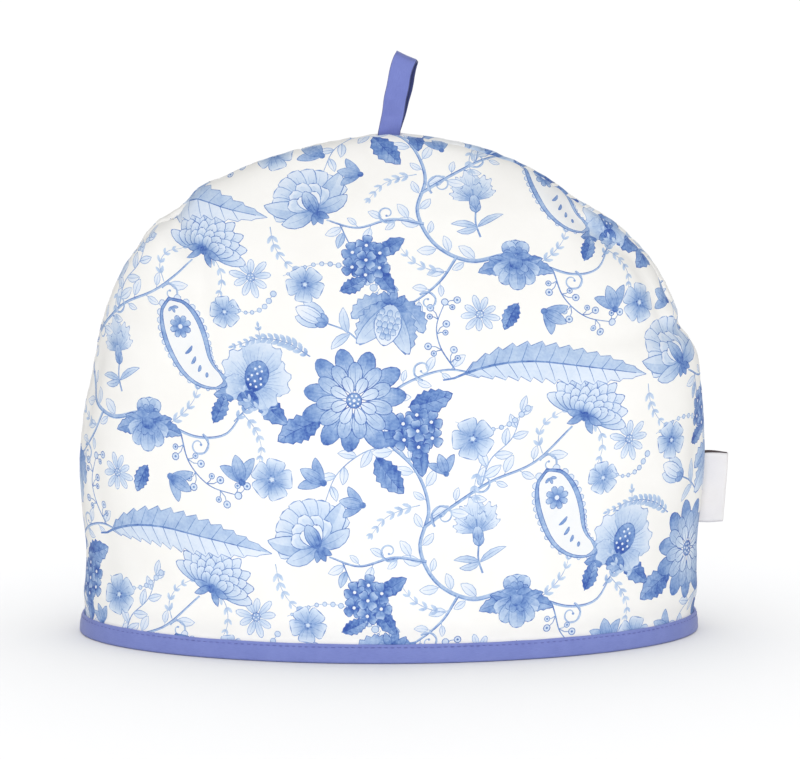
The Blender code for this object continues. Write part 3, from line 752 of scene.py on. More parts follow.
def long_leaf(k):
    """A long toothed leaf on a bent rib, one half darker than the other."""
    a, C, th = teardrop(88, 50, -66, 34, 0.46, 1.0)
    h = (np.clip(a, 0, 1) ** 0.72) * (np.clip(1 - a, 0, 1) ** 0.88)
    h = h / h.max() * 8.8
    ts, fs = [0.0], [1.0]
    for j in range(1, 14):
        ts += [(j - 0.10) / 14, (j + 0.12) / 14]
        fs += [1.13, 0.86]
    ts, fs = np.array(ts + [1.0]), np.array(fs + [1.0])
    P = np.stack([np.interp(ts, a, C[:, 0]), np.interp(ts, a, C[:, 1])], -1)
    T = np.interp(ts, a, th)
    N = np.stack([-np.sin(T), np.cos(T)], -1)
    hh = (np.interp(ts, a, h) * fs)[:, None]
    for s, tone in ((1, 0.42), (-1, 0.20)):
        E = P + s * N * hh
        half = [tuple(p) for p in P] + [tuple(p) for p in E[-2:0:-1]]
        k.poly(half if s < 0 else half[::-1], (tone, -0.10, 0.0, 0, 0), tuple(P[0]), tuple(P[-1] - P[0]), 9)
        k.stroke([tuple(p) for p in E], 0.42, 0.32, 0.68)
        for j in range(1, 13):
            u = (j - 0.75) / 14
            b0 = (np.interp(u, a, C[:, 0]), np.interp(u, a, C[:, 1]))
            e = P[2 * j - 1] + s * N[2 * j - 1] * hh[2 * j - 1] * 0.86
            k.stroke([b0, ((b0[0] + e[0]) / 2, (b0[1] + e[1]) / 2), tuple(e)], 0.42, 0.2, 0.66)
    k.stroke([tuple(p) for p in P[::2]], 1.15, 0.35, 0.74)
    k.stroke([(-7.0, -7.0), (-3.0, -3.8), (0, 0)], 0.8, 1.15, 0.74)


def lotus(k):
    for i in range(9):
        a = 14 + 19 * i
        k.petal(*polar(0, 0, a, 2), a, 19 - 2.5 * abs(i - 4) / 4, 7.6, 0.95, 0.26, 0, (0.55, 0.10), 0.6, 0.42, 3, 0.5)
    for s in (-1, 1):
        k.petal(0, 0, 90 + s * 80, 23, 9.5, 0.85, 0.85, s * -0.7, (0.62, 0.16, 0.28), 0.72, 0.45, 0, half=0.12)
        k.petal(0, -1, 90 + s * 112, 17, 7.5, 0.85, 0.8, s * -0.8, (0.7, 0.2, 0.35), 0.72, 0.42, 1)
    for i in range(5):
        a = 40 + 25 * i
        k.petal(*polar(0, -1, a, 1), a, 14.2 - 1.4 * abs(i - 2), 7.4, 0.8, 0.42, 0, (0.68, 0.04), 0.68, 0.42, 0, inner=(0.5, 0.22))
    for s in (-1, 1):
        k.petal(s * 1.2, -2, 90 + s * 30, 11, 6.4, 0.7, 0.5, 0, (0.15, 0.05), 0.72, 0.42, 0)
        k.dot(*polar(s * 1.2, -2, 90 + s * 30, 7.2), 1.15, 0.6, 8)
    k.petal(0, -3, 90, 12.5, 7.0, 0.7, 0.7, 0, (0.85, 0.25), 0.8, 0.42, 3, 0.85)
    for s in (-1, 0, 1):
        k.petal(0, -2.5, 270 + s * 38, 6.5, 3.6, 0.6, 0.8, 0, (0.85, 0.55), 0.82, 0.38)


def thistle(k):
    for s in (-1, 1):
        for ang, L, b in ((152, 15, 0.9), (188, 12, 0.9)):
            k.petal(0, 0, 90 + s * (ang - 90), L, 5.2, 0.8, 0.9, -s * b, (0.6, 0.2), 0.7, 0.4, 1)
    rows = ((9, 20, 6.6, 74), (8, 17, 6.4, 64), (7, 13.6, 6.2, 56), (5, 10.2, 6.0, 40), (3, 7.2, 5.4, 22))
    for n, L, W, sp in rows:
        for i in range(n):
            f = (i / (n - 1) * 2 - 1)
            k.petal(f * 2.6, 0, 90 - f * sp, L * (1 - 0.10 * f * f), W, 0.85, 0.62, -0.25 * f, (0.85, 0.12, 0.38), 0.72, 0.42, 1, 0.7)
    for f in (-1, -0.5, 0.5, 1):
        k.petal(f * 1.5, 1.0, 270 + f * 58, 10 - 2 * abs(f), 3.6, 0.8, 0.9, f * 0.8, (0.8, 0.4), 0.8, 0.38)
    k.dot(0, 0, 2.2, 0.85, 9)


def flame(k):
    """A drop of scales between feathery leaves."""
    for s in (-1, 1):
        k.petal(0, 0, 90 + s * 82, 22, 9.5, 0.8, 0.8, -s * 0.95, (0.6, 0.3), 0.72, 0.42, 1, 0.75, half=0.12, lobes=7, lobe=0.26)
        k.petal(0, 0, 90 + s * 46, 27, 10.5, 0.8, 0.75, -s * 0.75, (0.62, 0.22), 0.72, 0.42, 3, 0.6, half=0.10, lobes=8, lobe=0.22)
        k.petal(0, 0, 90 + s * 16, 27, 9.0, 0.8, 0.7, s * 0.45, (0.6, 0.15), 0.7, 0.42, 3, 0.6)
    k.petal(0, 1, 90, 21, 13.5, 0.65, 0.7, 0, (0.30, 0.05), 0.74, 0.45)
    for r, n in ((5.2, 3), (8.2, 4), (11.2, 4), (14.0, 3), (16.6, 2)):
        for i in range(n):
            f = (i - (n - 1) / 2) / max((n - 1) / 2, 1)
            w = 4.2 * (1 - abs(r - 8.5) / 17)
            k.petal(f * w, r - 1.2, 90 - f * 12, 3.6, 3.0, 0.5, 0.35, 0, (0.55, 0.12), 0.62, 0.34, n=4)
    for s in (-1, 0, 1):
        k.petal(s * 1.2, 2, 270 + s * 46, 9 - abs(s) * 1.5, 4.2, 0.7, 0.85, -s * 0.5, (0.85, 0.5), 0.82, 0.4)


def ruffled(k, x, y, ang, spread, R, waves, tone, line=0.58, amp=0.07):
    n = waves * 4 + 1
    P = []
    for i in range(n):
        f = i / (n - 1)
        a = math.radians(ang + spread * (f - 0.5))
        edge = math.sin(math.pi * f) ** 0.35
        r = R * (0.60 + 0.40 * edge) * (1 + amp * math.cos(TAU * waves * f + 0.6))
        P.append((x + r * math.cos(a), y + r * math.sin(a)))
    c, s = math.cos(math.radians(ang)), math.sin(math.radians(ang))
    k.poly([(x, y)] + P, tone, (x, y), (R * c, R * s), R * 0.7)
    inn = [(x + (p[0] - x) * (1 - 0.45 / R / k.scale), y + (p[1] - y) * (1 - 0.45 / R / k.scale)) for p in P]
    k.ribbon(P, inn, line, (x, y), (R * c, R * s), R)
    k.stroke([(x, y), P[0]], 0.35, 0.35, line)
    k.stroke([(x, y), P[-1]], 0.35, 0.35, line)
    for i in range(waves * 2 + 1):
        f = (i + 0.5) / (waves * 2 + 1)
        a = math.radians(ang + spread * (f - 0.5) * 0.9)
        r1 = R * (0.62 + 0.2 * ((i * 7) % 3) / 2)
        k.stroke([(x + R * 0.18 * math.cos(a), y + R * 0.18 * math.sin(a)),
                  (x + R * 0.4 * math.cos(a + 0.03), y + R * 0.4 * math.sin(a + 0.03)),
                  (x + r1 * math.cos(a), y + r1 * math.sin(a))], 0.5, 0.12, 0.5)


def poppy(k):
    k.leaf(4, -6, -38, 19, 9, 0.5, (0.85, 0.6), 0.88, 0.95, 0.1, 0.42, 5, 0.2)
    k.leaf(-4, -6, 228, 15, 7, -0.5, (0.8, 0.5), 0.85, 0.95, 0.1, 0.42, 5, 0.2)
    ruffled(k, 0, -2, 148, 92, 17.5, 4, (0.50, -0.40, 0.0, 0, 0))
    ruffled(k, 0, -2, 34, 92, 17.0, 4, (0.50, -0.40, 0.0, 0, 0))
    ruffled(k, 0, -1, 92, 86, 19.5, 4, (0.60, -0.55, 0.06, 0, 0))
    ruffled(k, 0, -3, 205, 76, 13.5, 3, (0.62, -0.42, 0.0, 0, 0))
    ruffled(k, 0, -3, -28, 76, 13.5, 3, (0.62, -0.42, 0.0, 0, 0))
    k.petal(0, -6.5, 90, 15.5, 11.5, 0.7, 0.6, 0, (0.95, 0.55), 0.85, 0.45)
    for i, (x, y) in enumerate(((0, -1), (-2.2, 1), (2.2, 1), (0, 2.6), (-1.6, 4.4), (1.6, 4.4), (0, 6.0), (-3.2, -1.4), (3.2, -1.4), (-1.4, -3.2), (1.4, -3.2))):
        k.dot(x, y, 0.62, 0.10, 6)
    ruffled(k, 0, -5, 262, 70, 9.5, 3, (0.75, -0.35, 0.0, 0, 0), 0.7)
    k.petal(0, -6, 225, 8, 4, 0.8, 0.7, 0.3, (0.9, 0.6), 0.85, 0.38)
    k.petal(0, -6, -45, 8, 4, 0.8, 0.7, -0.3, (0.9, 0.6), 0.85, 0.38)


def florets(k):
    """A round head of small four-petalled flowers over two leaves."""
    for sg in (-1, 1):
        k.leaf(sg * 3, -6, 270 + sg * 58, 15, 7.5, -sg * 0.4, (0.85, 0.6), 0.88, 0.95, 0.1, 0.4, 4, 0.16)
    k.dot(0, 0, 8.6, 0.94, 14)
    spots = [polar(0, 0, 60 * i + 8, 7.4) for i in range(6)] + [(0, 0)]
    for i, (x, y) in enumerate(spots):
        for j in range(4):
            a = 23 * i + 90 * j
            k.petal(*polar(x, y, a, 0.2), a, 5.1, 5.0, 0.7, 0.34, 0, (0.96, 0.30 + 0.10 * (i % 3)), 0.90, 0.36, n=5)
        k.dot(x, y, 0.85, 0.06, 6)


def blossom(k):
    for i in range(5):
        a = 90 + 72 * i
        k.petal(*polar(0, 0, a, 0.6), a, 8.6, 8.8, 0.75, 0.22, 0, (0.70, 0.10), 0.6, 0.4, 3, 0.62)
    for i in range(6):
        k.dot(*polar(0, 0, 60 * i, 1.7), 0.45, 0.85, 6)
    k.dot(0, 0, 0.9, 0.2, 7)


def bell(k):
    for s in (-1, 1):
        k.petal(0, 0, 90 + s * 26, 12.5, 5.2, 0.7, 0.75, s * 0.55, (0.62, 0.40), 0.70, 0.38, 1)
    k.petal(0, 0, 90, 12.6, 6.4, 0.7, 0.8, 0, (0.70, 0.32), 0.72, 0.38, 3, 0.72)
    k.dot(0, 0.2, 1.7, 0.8, 8)


def big_leaf(k):
    k.leaf(0, 0, 90, 25, 12.5, 0.25, (0.80, 0.48), 0.85, 0.95, 0.16, 0.45, 6, 0.18, 0.8, 0.9, 4)


def sprig(k, path, n=7, L=10.0, W=5.0, tone=(0.16, 0.04), line=0.50, end=True, dark=False, w=0.62):
    p = curve(path, 26)
    k.stroke(p, w, 0.35, line + 0.08)
    for i in range(n):
        j = int(round(3 + (len(p) - 5) * i / max(n - 1, 1)))
        h = heading(p, j)
        s = 1 if i % 2 else -1
        f = 1.0 - 0.28 * i / max(n - 1, 1)
        k.leaf(p[j][0], p[j][1], h + s * 52, L * f, W * f, -s * 0.35, tone, line, line, 0.05 if not dark else 0.12, 0.36)
    if end:
        k.leaf(p[-1][0], p[-1][1], heading(p, len(p) - 1), L * 0.8, W * 0.75, 0, tone, line, line, 0.05, 0.36)


def fern(k, path, n=14, L=6.0, W=2.3, tone=(0.62, 0.42), w=0.6, lean=46):
    p = curve(path, 40)
    k.stroke(p, w, 0.25, 0.66)
    for i in range(n):
        j = int(round(2 + (len(p) - 4) * i / (n - 1)))
        h = heading(p, j)
        f = (1.0 - 0.62 * i / (n - 1)) * min(1, 0.6 + 0.2 * i)
        for s in (-1, 1):
            k.petal(p[j][0], p[j][1], h + s * lean, L * f, W * f + 0.4, 0.75, 0.75, -s * 0.3, tone, None, n=4)
    k.petal(p[-1][0], p[-1][1], heading(p, len(p) - 1), L * 0.5, W * 0.6, 0.75, 0.75, 0, tone, None, n=4)


def beads(k, path, n=12, r0=1.9, r1=0.7):
    p = curve(path, 60)
    k.stroke(p, 0.35, 0.25, 0.5)
    for i in range(n):
        j = int(round((len(p) - 1) * (i + 0.3) / n))
        r = r0 + (r1 - r0) * i / (n - 1)
        k.ring(p[j][0], p[j][1], r, 0.36, 0.58, 0.22, 10)


def stalks(k, path, n=6, L=7.0, r=1.9, w=0.7):
    p = curve(path, 30)
    k.stroke(p, w, 0.4, 0.72)
    for i in range(n):
        j = int(round(3 + (len(p) - 5) * i / max(n - 1, 1)))
        h = heading(p, j)
        s = 1 if i % 2 else -1
        for m, (da, f) in enumerate(((50, 1.0), (88, 0.62))):
            a0 = h + s * da
            e = polar(p[j][0], p[j][1], a0, L * f)
            mid = polar(p[j][0], p[j][1], a0 - s * 14, L * f * 0.5)
            k.stroke([p[j], mid, e], 0.5, 0.35, 0.68)
            k.ring(e[0], e[1], r * (1.0 if m == 0 else 0.8), 0.42, 0.74, 0.18, 10)
            k.dot(e[0], e[1], r * 0.34, 0.72, 6)
    x, y = p[-1]
    k.ring(x, y, r, 0.42, 0.74, 0.18, 10)


def curl(k, turns=1.15, r=7.0, w=1.15, tone=0.42):
    n = 22
    P = []
    for i in range(n):
        f = i / (n - 1)
        a = math.radians(200 - 360 * turns * f)
        rr = r * (1 - 0.78 * f)
        P.append((r * 0.9 + rr * math.cos(a), rr * math.sin(a)))
    k.stroke(P, w, 0.5, tone)
    k.stroke([P[0], P[3], P[6], P[9]], 0.34, 0.2, tone + 0.28)
    k.dot(P[-1][0], P[-1][1], 0.85, tone + 0.2, 7)


def vine(k, path, w=1.5, n=44, tone=0.44):
    p = curve(path, n)
    k.stroke(p, w, w * 0.55, tone)
    q = np.asarray(p)
    d = np.gradient(q, axis=0)
    d /= np.linalg.norm(d, axis=1, keepdims=True)
    nn = np.stack([-d[:, 1], d[:, 0]], -1)
    ww = np.linspace(w, w * 0.55, n)[:, None] * 0.30
    k.stroke([tuple(v) for v in (q + nn * ww)[::2]], 0.42, 0.3, 0.78)
    return p


def leafy(k, path, n=8, L=8.0, W=4.0, tone=(0.16, 0.05), line=0.48, lean=50, start=0.05, stop=0.95):
    """Small pale leaves on both sides of a stem that is already there."""
    p = curve(path, 48)
    for i in range(n):
        j = int(round((len(p) - 1) * (start + (stop - start) * i / max(n - 1, 1))))
        h = heading(p, j)
        s = 1 if i % 2 else -1
        f = 0.82 + 0.18 * math.cos(i * 2.4)
        a = math.radians(h + s * lean)
        x, y = p[j][0] + 1.6 * math.cos(a), p[j][1] + 1.6 * math.sin(a)
        k.stroke([p[j], ((p[j][0] + x) / 2, (p[j][1] + y) / 2), (x, y)], 0.45, 0.35, line + 0.1)
        k.petal(x, y, h + s * (lean + 8), L * f, W * f, 0.8, 0.9, -s * 0.45, tone, line, 0.34, 1, line, n=5)


def wisp(k, path, n=6, L=4.6, W=1.8, tone=(0.42, 0.24), w=0.45, lean=42):
    """A fine twig with tiny leaves in pairs."""
    p = curve(path, 20)
    k.stroke(p, w, 0.22, 0.5)
    for i in range(n):
        j = int(round(3 + (len(p) - 4) * i / max(n - 1, 1)))
        h = heading(p, j)
        f = 1.0 - 0.35 * i / max(n - 1, 1)
        for s in (-1, 1):
            k.petal(p[j][0], p[j][1], h + s * lean, L * f, W * f, 0.8, 0.8, -s * 0.4, tone, None, n=3)
    k.petal(p[-1][0], p[-1][1], heading(p, len(p) - 1), L * 0.7, W * 0.8, 0.8, 0.8, 0, tone, None, n=3)


def daisy(k):
    """A small open flower with narrow petals."""
    for i in range(9):
        a = 40 * i + 6 * (i % 2)
        k.petal(*polar(0, 0, a, 1.6), a, 6.6 + 0.8 * (i % 3), 3.4, 0.7, 0.55, 0.1 * (-1) ** i, (0.34, 0.06), 0.5, 0.34, 1, 0.5, n=4)
    k.dot(0, 0, 2.1, 0.5, 9)
    k.ring(0, 0, 2.1, 0.34, 0.76, n=9)
    for i in range(5):
        k.dot(*polar(0, 0, 72 * i + 20, 1.05), 0.34, 0.06, 5)


def bud(k):
    """A closed flower on a short stem with two leaves."""
    k.stroke(curve([(0, -16), (1.2, -10), (0, 0)], 9), 0.85, 0.7, 0.6)
    k.petal(0.6, -11, 52, 12, 4.6, 0.8, 0.9, -0.5, (0.34, 0.10), 0.56, 0.34, 1, 0.56, n=5)
    k.petal(0.6, -12, 140, 11, 4.4, 0.8, 0.9, 0.6, (0.30, 0.08), 0.56, 0.34, 1, 0.56, n=5)
    for s in (-1, 1):
        k.petal(0, 0, 90 + s * 30, 13.5, 6.0, 0.75, 0.75, -s * 0.45, (0.44, 0.12), 0.62, 0.36, 1, 0.6)
    k.petal(0, 0, 90, 14.5, 7.2, 0.75, 0.7, 0, (0.38, 0.05, 0.14), 0.64, 0.38, 3, 0.6)
    for s in (-1, 0, 1):
        k.petal(0, -1.2, 90 + s * 44, 5.6, 2.9, 0.7, 0.8, -s * 0.4, (0.72, 0.45), 0.76, 0.34, n=4)


def carnation(k):
    """A fan of toothed petals over a long calyx."""
    k.stroke(curve([(0, -20), (-1.4, -12), (0, -3)], 10), 1.0, 0.8, 0.6)
    for ang, L, b in ((38, 17, -0.6), (146, 15, 0.7), (205, 12, -0.7)):
        k.petal(-0.8, -14, ang, L, 4.2, 0.8, 0.95, b, (0.40, 0.14), 0.6, 0.34, 1, 0.6, n=5)
    for ang, R, w in ((150, 13.5, 46), (30, 13.5, 46), (124, 17, 44), (56, 17, 44), (90, 19, 46)):
        ruffled(k, 0, 2, ang, w, R, 3, (0.46, -0.42, 0.06, 0, 0), 0.6, 0.09)
    for ang, R, w in ((112, 11.5, 40), (68, 11.5, 40)):
        ruffled(k, 0, 2, ang, w, R, 2, (0.62, -0.44, 0.0, 0, 0), 0.64, 0.09)
    k.petal(0, -5.5, 90, 11.5, 6.2, 0.6, 0.5, 0, (0.70, 0.34), 0.76, 0.38, 3, 0.74)
    for s in (-1, 1):
        k.petal(0, -5.0, 90 + s * 46, 6.0, 2.6, 0.7, 0.8, -s * 0.7, (0.62, 0.4), 0.74, 0.34, n=4)


# ==========================================================================
# Printed pattern: the repeat, in mm
# ==========================================================================
CELL_W, CELL_H = 176.0, 158.0

MAIN = [(112, 33), (96, 30), (80, 38), (72, 54), (76, 72), (70, 90), (56, 104), (46, 118)]
EAST = [(74, 64), (88, 74), (104, 84), (124, 92), (142, 108)]
WEST = [(75, 48), (60, 50), (44, 46), (30, 50)]
FAR = [(126, 30), (144, 24), (158, 26), (166, 36)]
HIGH = [(50, 118), (66, 130), (84, 136), (98, 134)]
LOW = [(90, 32), (82, 20), (70, 10), (58, 4)]


def design(k):
    # --- pale growth behind everything
    with k.at(99, 59, 8, 0.86): carnation(k)
    with k.at(29, 158, 62, 1.05): bud(k)
    with k.at(171, 100, -36, 1.08): daisy(k)
    with k.at(100, 4, 24, 1.0): daisy(k)
    leafy(k, MAIN, 15, 9.8, 5.2, start=0.10, stop=0.86)
    leafy(k, EAST, 9, 9.2, 4.8, start=0.16, stop=0.80)
    leafy(k, WEST, 6, 8.8, 4.6, start=0.14, stop=0.80)
    leafy(k, LOW, 5, 8.4, 4.4, start=0.2, stop=0.75)
    leafy(k, HIGH, 6, 8.4, 4.4, start=0.2, stop=0.75)
    # --- vines and stems
    vine(k, MAIN, 2.2, 56)
    vine(k, EAST, 1.7, 36)
    vine(k, WEST, 1.5, 26)
    vine(k, FAR, 1.5, 26)
    vine(k, HIGH, 1.5, 26)
    vine(k, LOW, 1.4, 24)
    for x, y, ang, s, t, f in ((78, 66, 30, 0.9, 0.42, 1), (98, 80, 240, 0.7, 0.4, -1), (60, 49, 120, 0.7, 0.4, 1), (148, 24, 230, 0.8, 0.42, 1),
                            (72, 132, 70, 0.7, 0.4, 1), (64, 98, 200, 0.8, 0.42, -1), (74, 14, 300, 0.7, 0.42, 1), (128, 94, 320, 0.7, 0.4, 1)):
        with k.at(x, y, ang, s, f < 0): curl(k, tone=t)
    # --- sprigs, ferns, beads
    with k.at(60, 102): sprig(k, [(0, 0), (-14, -4), (-26, -14), (-32, -28)], 7, 10, 5)
    with k.at(100, 82): sprig(k, [(0, 0), (4, 12), (14, 22), (18, 34)], 7, 9.5, 4.8)
    with k.at(162, 32): fern(k, [(0, 0), (10, 12), (14, 28), (12, 44)], 15, 6.2, 2.3, (0.5, 0.3))
    with k.at(22, 142): fern(k, [(0, 0), (-10, 6), (-22, 8), (-36, 4)], 13, 5.6, 2.2, (0.5, 0.3))
    with k.at(52, 16): beads(k, [(0, 0), (-12, 10), (-26, 12), (-42, 6)], 12, 1.9, 0.8)
    with k.at(122, 118): beads(k, [(0, 0), (-10, -8), (-22, -10), (-34, -6)], 10, 1.6, 0.7)
    with k.at(136, 24): stalks(k, [(0, 0), (4, -12), (14, -22), (28, -26)], 6, 7, 1.9)
    with k.at(88, 136): stalks(k, [(0, 0), (-6, 10), (-8, 20), (-4, 32)], 5, 6.5, 1.8)
    with k.at(36, 48): sprig(k, [(0, 0), (6, -12), (16, -20), (22, -32)], 6, 8.5, 4.2, (0.42, 0.25), 0.62)
    with k.at(72, 74): wisp(k, [(0, 0), (-8, -2), (-16, -6), (-22, -13)], 6)
    with k.at(128, 28): wisp(k, [(0, 0), (8, 6), (14, 14), (16, 22)], 6)
    with k.at(84, 24): wisp(k, [(0, 0), (-8, 2), (-15, 6), (-20, 12)], 5)
    with k.at(4, 46): wisp(k, [(0, 0), (2, -9), (7, -17), (14, -22)], 6)
    with k.at(166, 36): wisp(k, [(0, 0), (6, -7), (9, -15), (8, -23)], 6, 4.2)
    with k.at(100, 92): wisp(k, [(0, 0), (-3, -9), (-2, -16), (3, -24)], 5, 4.0)
    with k.at(128, 96): wisp(k, [(0, 0), (-2, 8), (2, 15), (9, 19)], 5, 4.0)
    with k.at(6, 118): wisp(k, [(0, 0), (-8, -1), (-14, 4), (-18, 12)], 5, 4.4)
    with k.at(150, 112): wisp(k, [(0, 0), (6, -8), (7, -16), (4, -24)], 5, 4.2)
    with k.at(6, 14): beads(k, [(0, 0), (-6, -8), (-14, -10), (-22, -6)], 8, 1.6, 0.7)
    with k.at(60, 152): beads(k, [(0, 0), (-8, 6), (-10, 14), (-6, 22)], 8, 1.7, 0.7)
    # --- cluster of the dahlia
    for x, y, a, s in ((27, 113, 200, 0.92), (52, 96, 300, 0.84), (67, 119, 10, 0.84)):
        with k.at(x, y, a - 90, s): big_leaf(k)
    with k.at(71, 108, -35, 1.0): florets(k)
    with k.at(42, 122, 12, 1.02): dahlia(k)
    # --- the drop, and the flower the stems grow from
    with k.at(130, 89, 204, 0.86): boteh(k)
    with k.at(118, 21, 0, 0.95): peony(k)
    # --- single flowers
    with k.at(24, 56, 28, 1.04): lotus(k)
    with k.at(148, 112, -24, 1.06): thistle(k)
    with k.at(60, 10, 168, 0.97): flame(k)
    with k.at(172, 52, -20, 1.02): poppy(k)
    with k.at(92, 134, -29, 1.0): long_leaf(k)
    for x, y, a, s in ((96, 104, 20, 1.05), (4, 85, -15, 1.05), (158, 83, 10, 0.82), (20, 18, 30, 0.95)):
        with k.at(x, y, a, s): blossom(k)
    for x, y, a, s in ((28, 84, 60, 1.0), (130, 5, -120, 1.0), (84, 88, 20, 0.8), (166, 4, 15, 1.05), (46, 74, 80, 0.9)):
        with k.at(x, y, a, s): bell(k)
    with k.at(48, 30, 80, 0.98): florets(k)
    for x, y, a, s in ((118, 9, 235, 0.58), (152, 31, 62, 0.58), (36, 15, 20, 0.55)):
        with k.at(x, y, a - 90, s): big_leaf(k)


# Which part of the repeat each panel was cut from, in mm.
FRONT_SHIFT = (-60.0, 0.0)
BACK_SHIFT = (-118.0, 44.0)

# Studio: light and view.
WORLD_LIGHT = 0.265
SUNS = (
    # name, where it stands from the piece, how wide it looks (degrees), strength, what it lights
    ("key", (-0.01, -1.0, 0.66), 36.0, 1.89, "cosy"),
    ("rear", (0.0, 1.0, 0.35), 30.0, 1.0, "cosy"),
    ("table", (0.0, 0.10, 1.0), 128.0, 4.54, "paper"),
)
CAM_LENS = 187.5
CAM_UP, CAM_RIGHT = 0.1193, -0.0016

# ==========================================================================
# The cloth's relief: soft creases, seam puckers, uneven wadding
# ==========================================================================
CREASES = table(               # as FOLDS, finer
    "panel across up runs half_length half_width depth",
    (-1, -124 * MM, 196 * MM, 38, 16 * MM, 4.5 * MM, 1.3 * MM),
    (-1, -103 * MM, 206 * MM, -62, 26 * MM, 4.0 * MM, 1.2 * MM),
    (-1, -88 * MM, 190 * MM, -88, 40 * MM, 5.0 * MM, 1.0 * MM),
    (-1, 128 * MM, 170 * MM, 118, 24 * MM, 4.5 * MM, 1.2 * MM),
    (-1, 148 * MM, 150 * MM, 172, 22 * MM, 4.0 * MM, 1.2 * MM),
    (-1, 112 * MM, 196 * MM, 140, 34 * MM, 5.0 * MM, 1.2 * MM),
    (-1, -162 * MM, 108 * MM, 78, 40 * MM, 5.5 * MM, 1.0 * MM),
    (-1, -150 * MM, 60 * MM, 96, 44 * MM, 7.0 * MM, 0.8 * MM),
    (-1, 156 * MM, 84 * MM, 84, 42 * MM, 6.5 * MM, 0.9 * MM),
    (-1, 60 * MM, 236 * MM, 150, 24 * MM, 5.0 * MM, 0.6 * MM),
    (-1, -40 * MM, 250 * MM, 20, 26 * MM, 4.5 * MM, 0.5 * MM),
    (-1, 96 * MM, 30 * MM, 14, 46 * MM, 7.0 * MM, 0.45 * MM),
    (-1, -92 * MM, 26 * MM, -8, 40 * MM, 7.0 * MM, 0.4 * MM),
    (1, -118 * MM, 190 * MM, 46, 22 * MM, 4.5 * MM, 0.9 * MM),
    (1, 126 * MM, 178 * MM, -58, 28 * MM, 4.5 * MM, 0.8 * MM),
    (1, 96 * MM, 214 * MM, 120, 26 * MM, 5.0 * MM, 0.7 * MM),
    (1, -60 * MM, 238 * MM, 28, 24 * MM, 5.0 * MM, 0.6 * MM),
    (1, 158 * MM, 96 * MM, 86, 40 * MM, 6.0 * MM, 0.6 * MM),
    (1, -156 * MM, 76 * MM, 82, 42 * MM, 6.0 * MM, 0.6 * MM),
    (1, 60 * MM, 34 * MM, 10, 46 * MM, 7.0 * MM, 0.5 * MM),
)


def hashed(ix, iy, seed):
    n = (ix * 73856093) ^ (iy * 19349663) ^ (seed * 83492791)
    n = (n ^ (n >> 13)) * 1274126177
    n = n ^ (n >> 16)
    return (n & 0xFFFF) / 65535.0 * 2.0 - 1.0


def patchy(x, y, size, seed=1):
    """Smooth unevenness, about -1 to 1, with patches of a size."""
    x, y = np.asarray(x) / size + 211.0, np.asarray(y) / size + 197.0
    ix, iy = np.floor(x).astype(np.int64), np.floor(y).astype(np.int64)
    fx, fy = x - ix, y - iy
    fx, fy = fx ** 3 * (fx * (fx * 6 - 15) + 10), fy ** 3 * (fy * (fy * 6 - 15) + 10)
    a, b = hashed(ix, iy, seed), hashed(ix + 1, iy, seed)
    c, d = hashed(ix, iy + 1, seed), hashed(ix + 1, iy + 1, seed)
    return (a * (1 - fx) + b * fx) * (1 - fy) + (c * (1 - fx) + d * fx) * fy


def creased(u, v, panel):
    total = np.zeros_like(u)
    for k in range(len(CREASES["panel"])):
        if CREASES["panel"][k] != panel:
            continue
        r = math.radians(CREASES["runs"][k])
        c, s = math.cos(r), math.sin(r)
        du, dv = u - CREASES["across"][k], v - CREASES["up"][k]
        along = (du * c + dv * s) / CREASES["half_length"][k]
        side = (-du * s + dv * c) / CREASES["half_width"][k]
        total += CREASES["depth"][k] * np.exp(-(along ** 2) ** 1.5 - side ** 2)
    return total


SEAM_RUN_W = np.linspace(1.0, 0.0, 600)
SEAM_RUN = np.concatenate([[0.0], np.cumsum(np.hypot(
    np.diff(np.interp(SEAM_RUN_W, W_STEPS, HALF_U)), np.diff(np.interp(SEAM_RUN_W, W_STEPS, V_OF_W))))])


def along_seam(u, v):
    """Distance up the nearer seam from the hem, signed by the side."""
    w_side = w_at(v)
    w_top = np.interp(np.abs(u), HALF_U, W_STEPS)
    du = np.maximum(half_u(v) - np.abs(u), 1e-6)
    dv = np.maximum(np.interp(np.abs(u), HALF_U, V_OF_W) - v, 1e-6)
    w = (w_side * dv ** 2 + w_top * du ** 2) / (du ** 2 + dv ** 2)
    s = np.interp(w, SEAM_RUN_W[::-1], SEAM_RUN[::-1])
    return np.where(u < 0, -s, s)


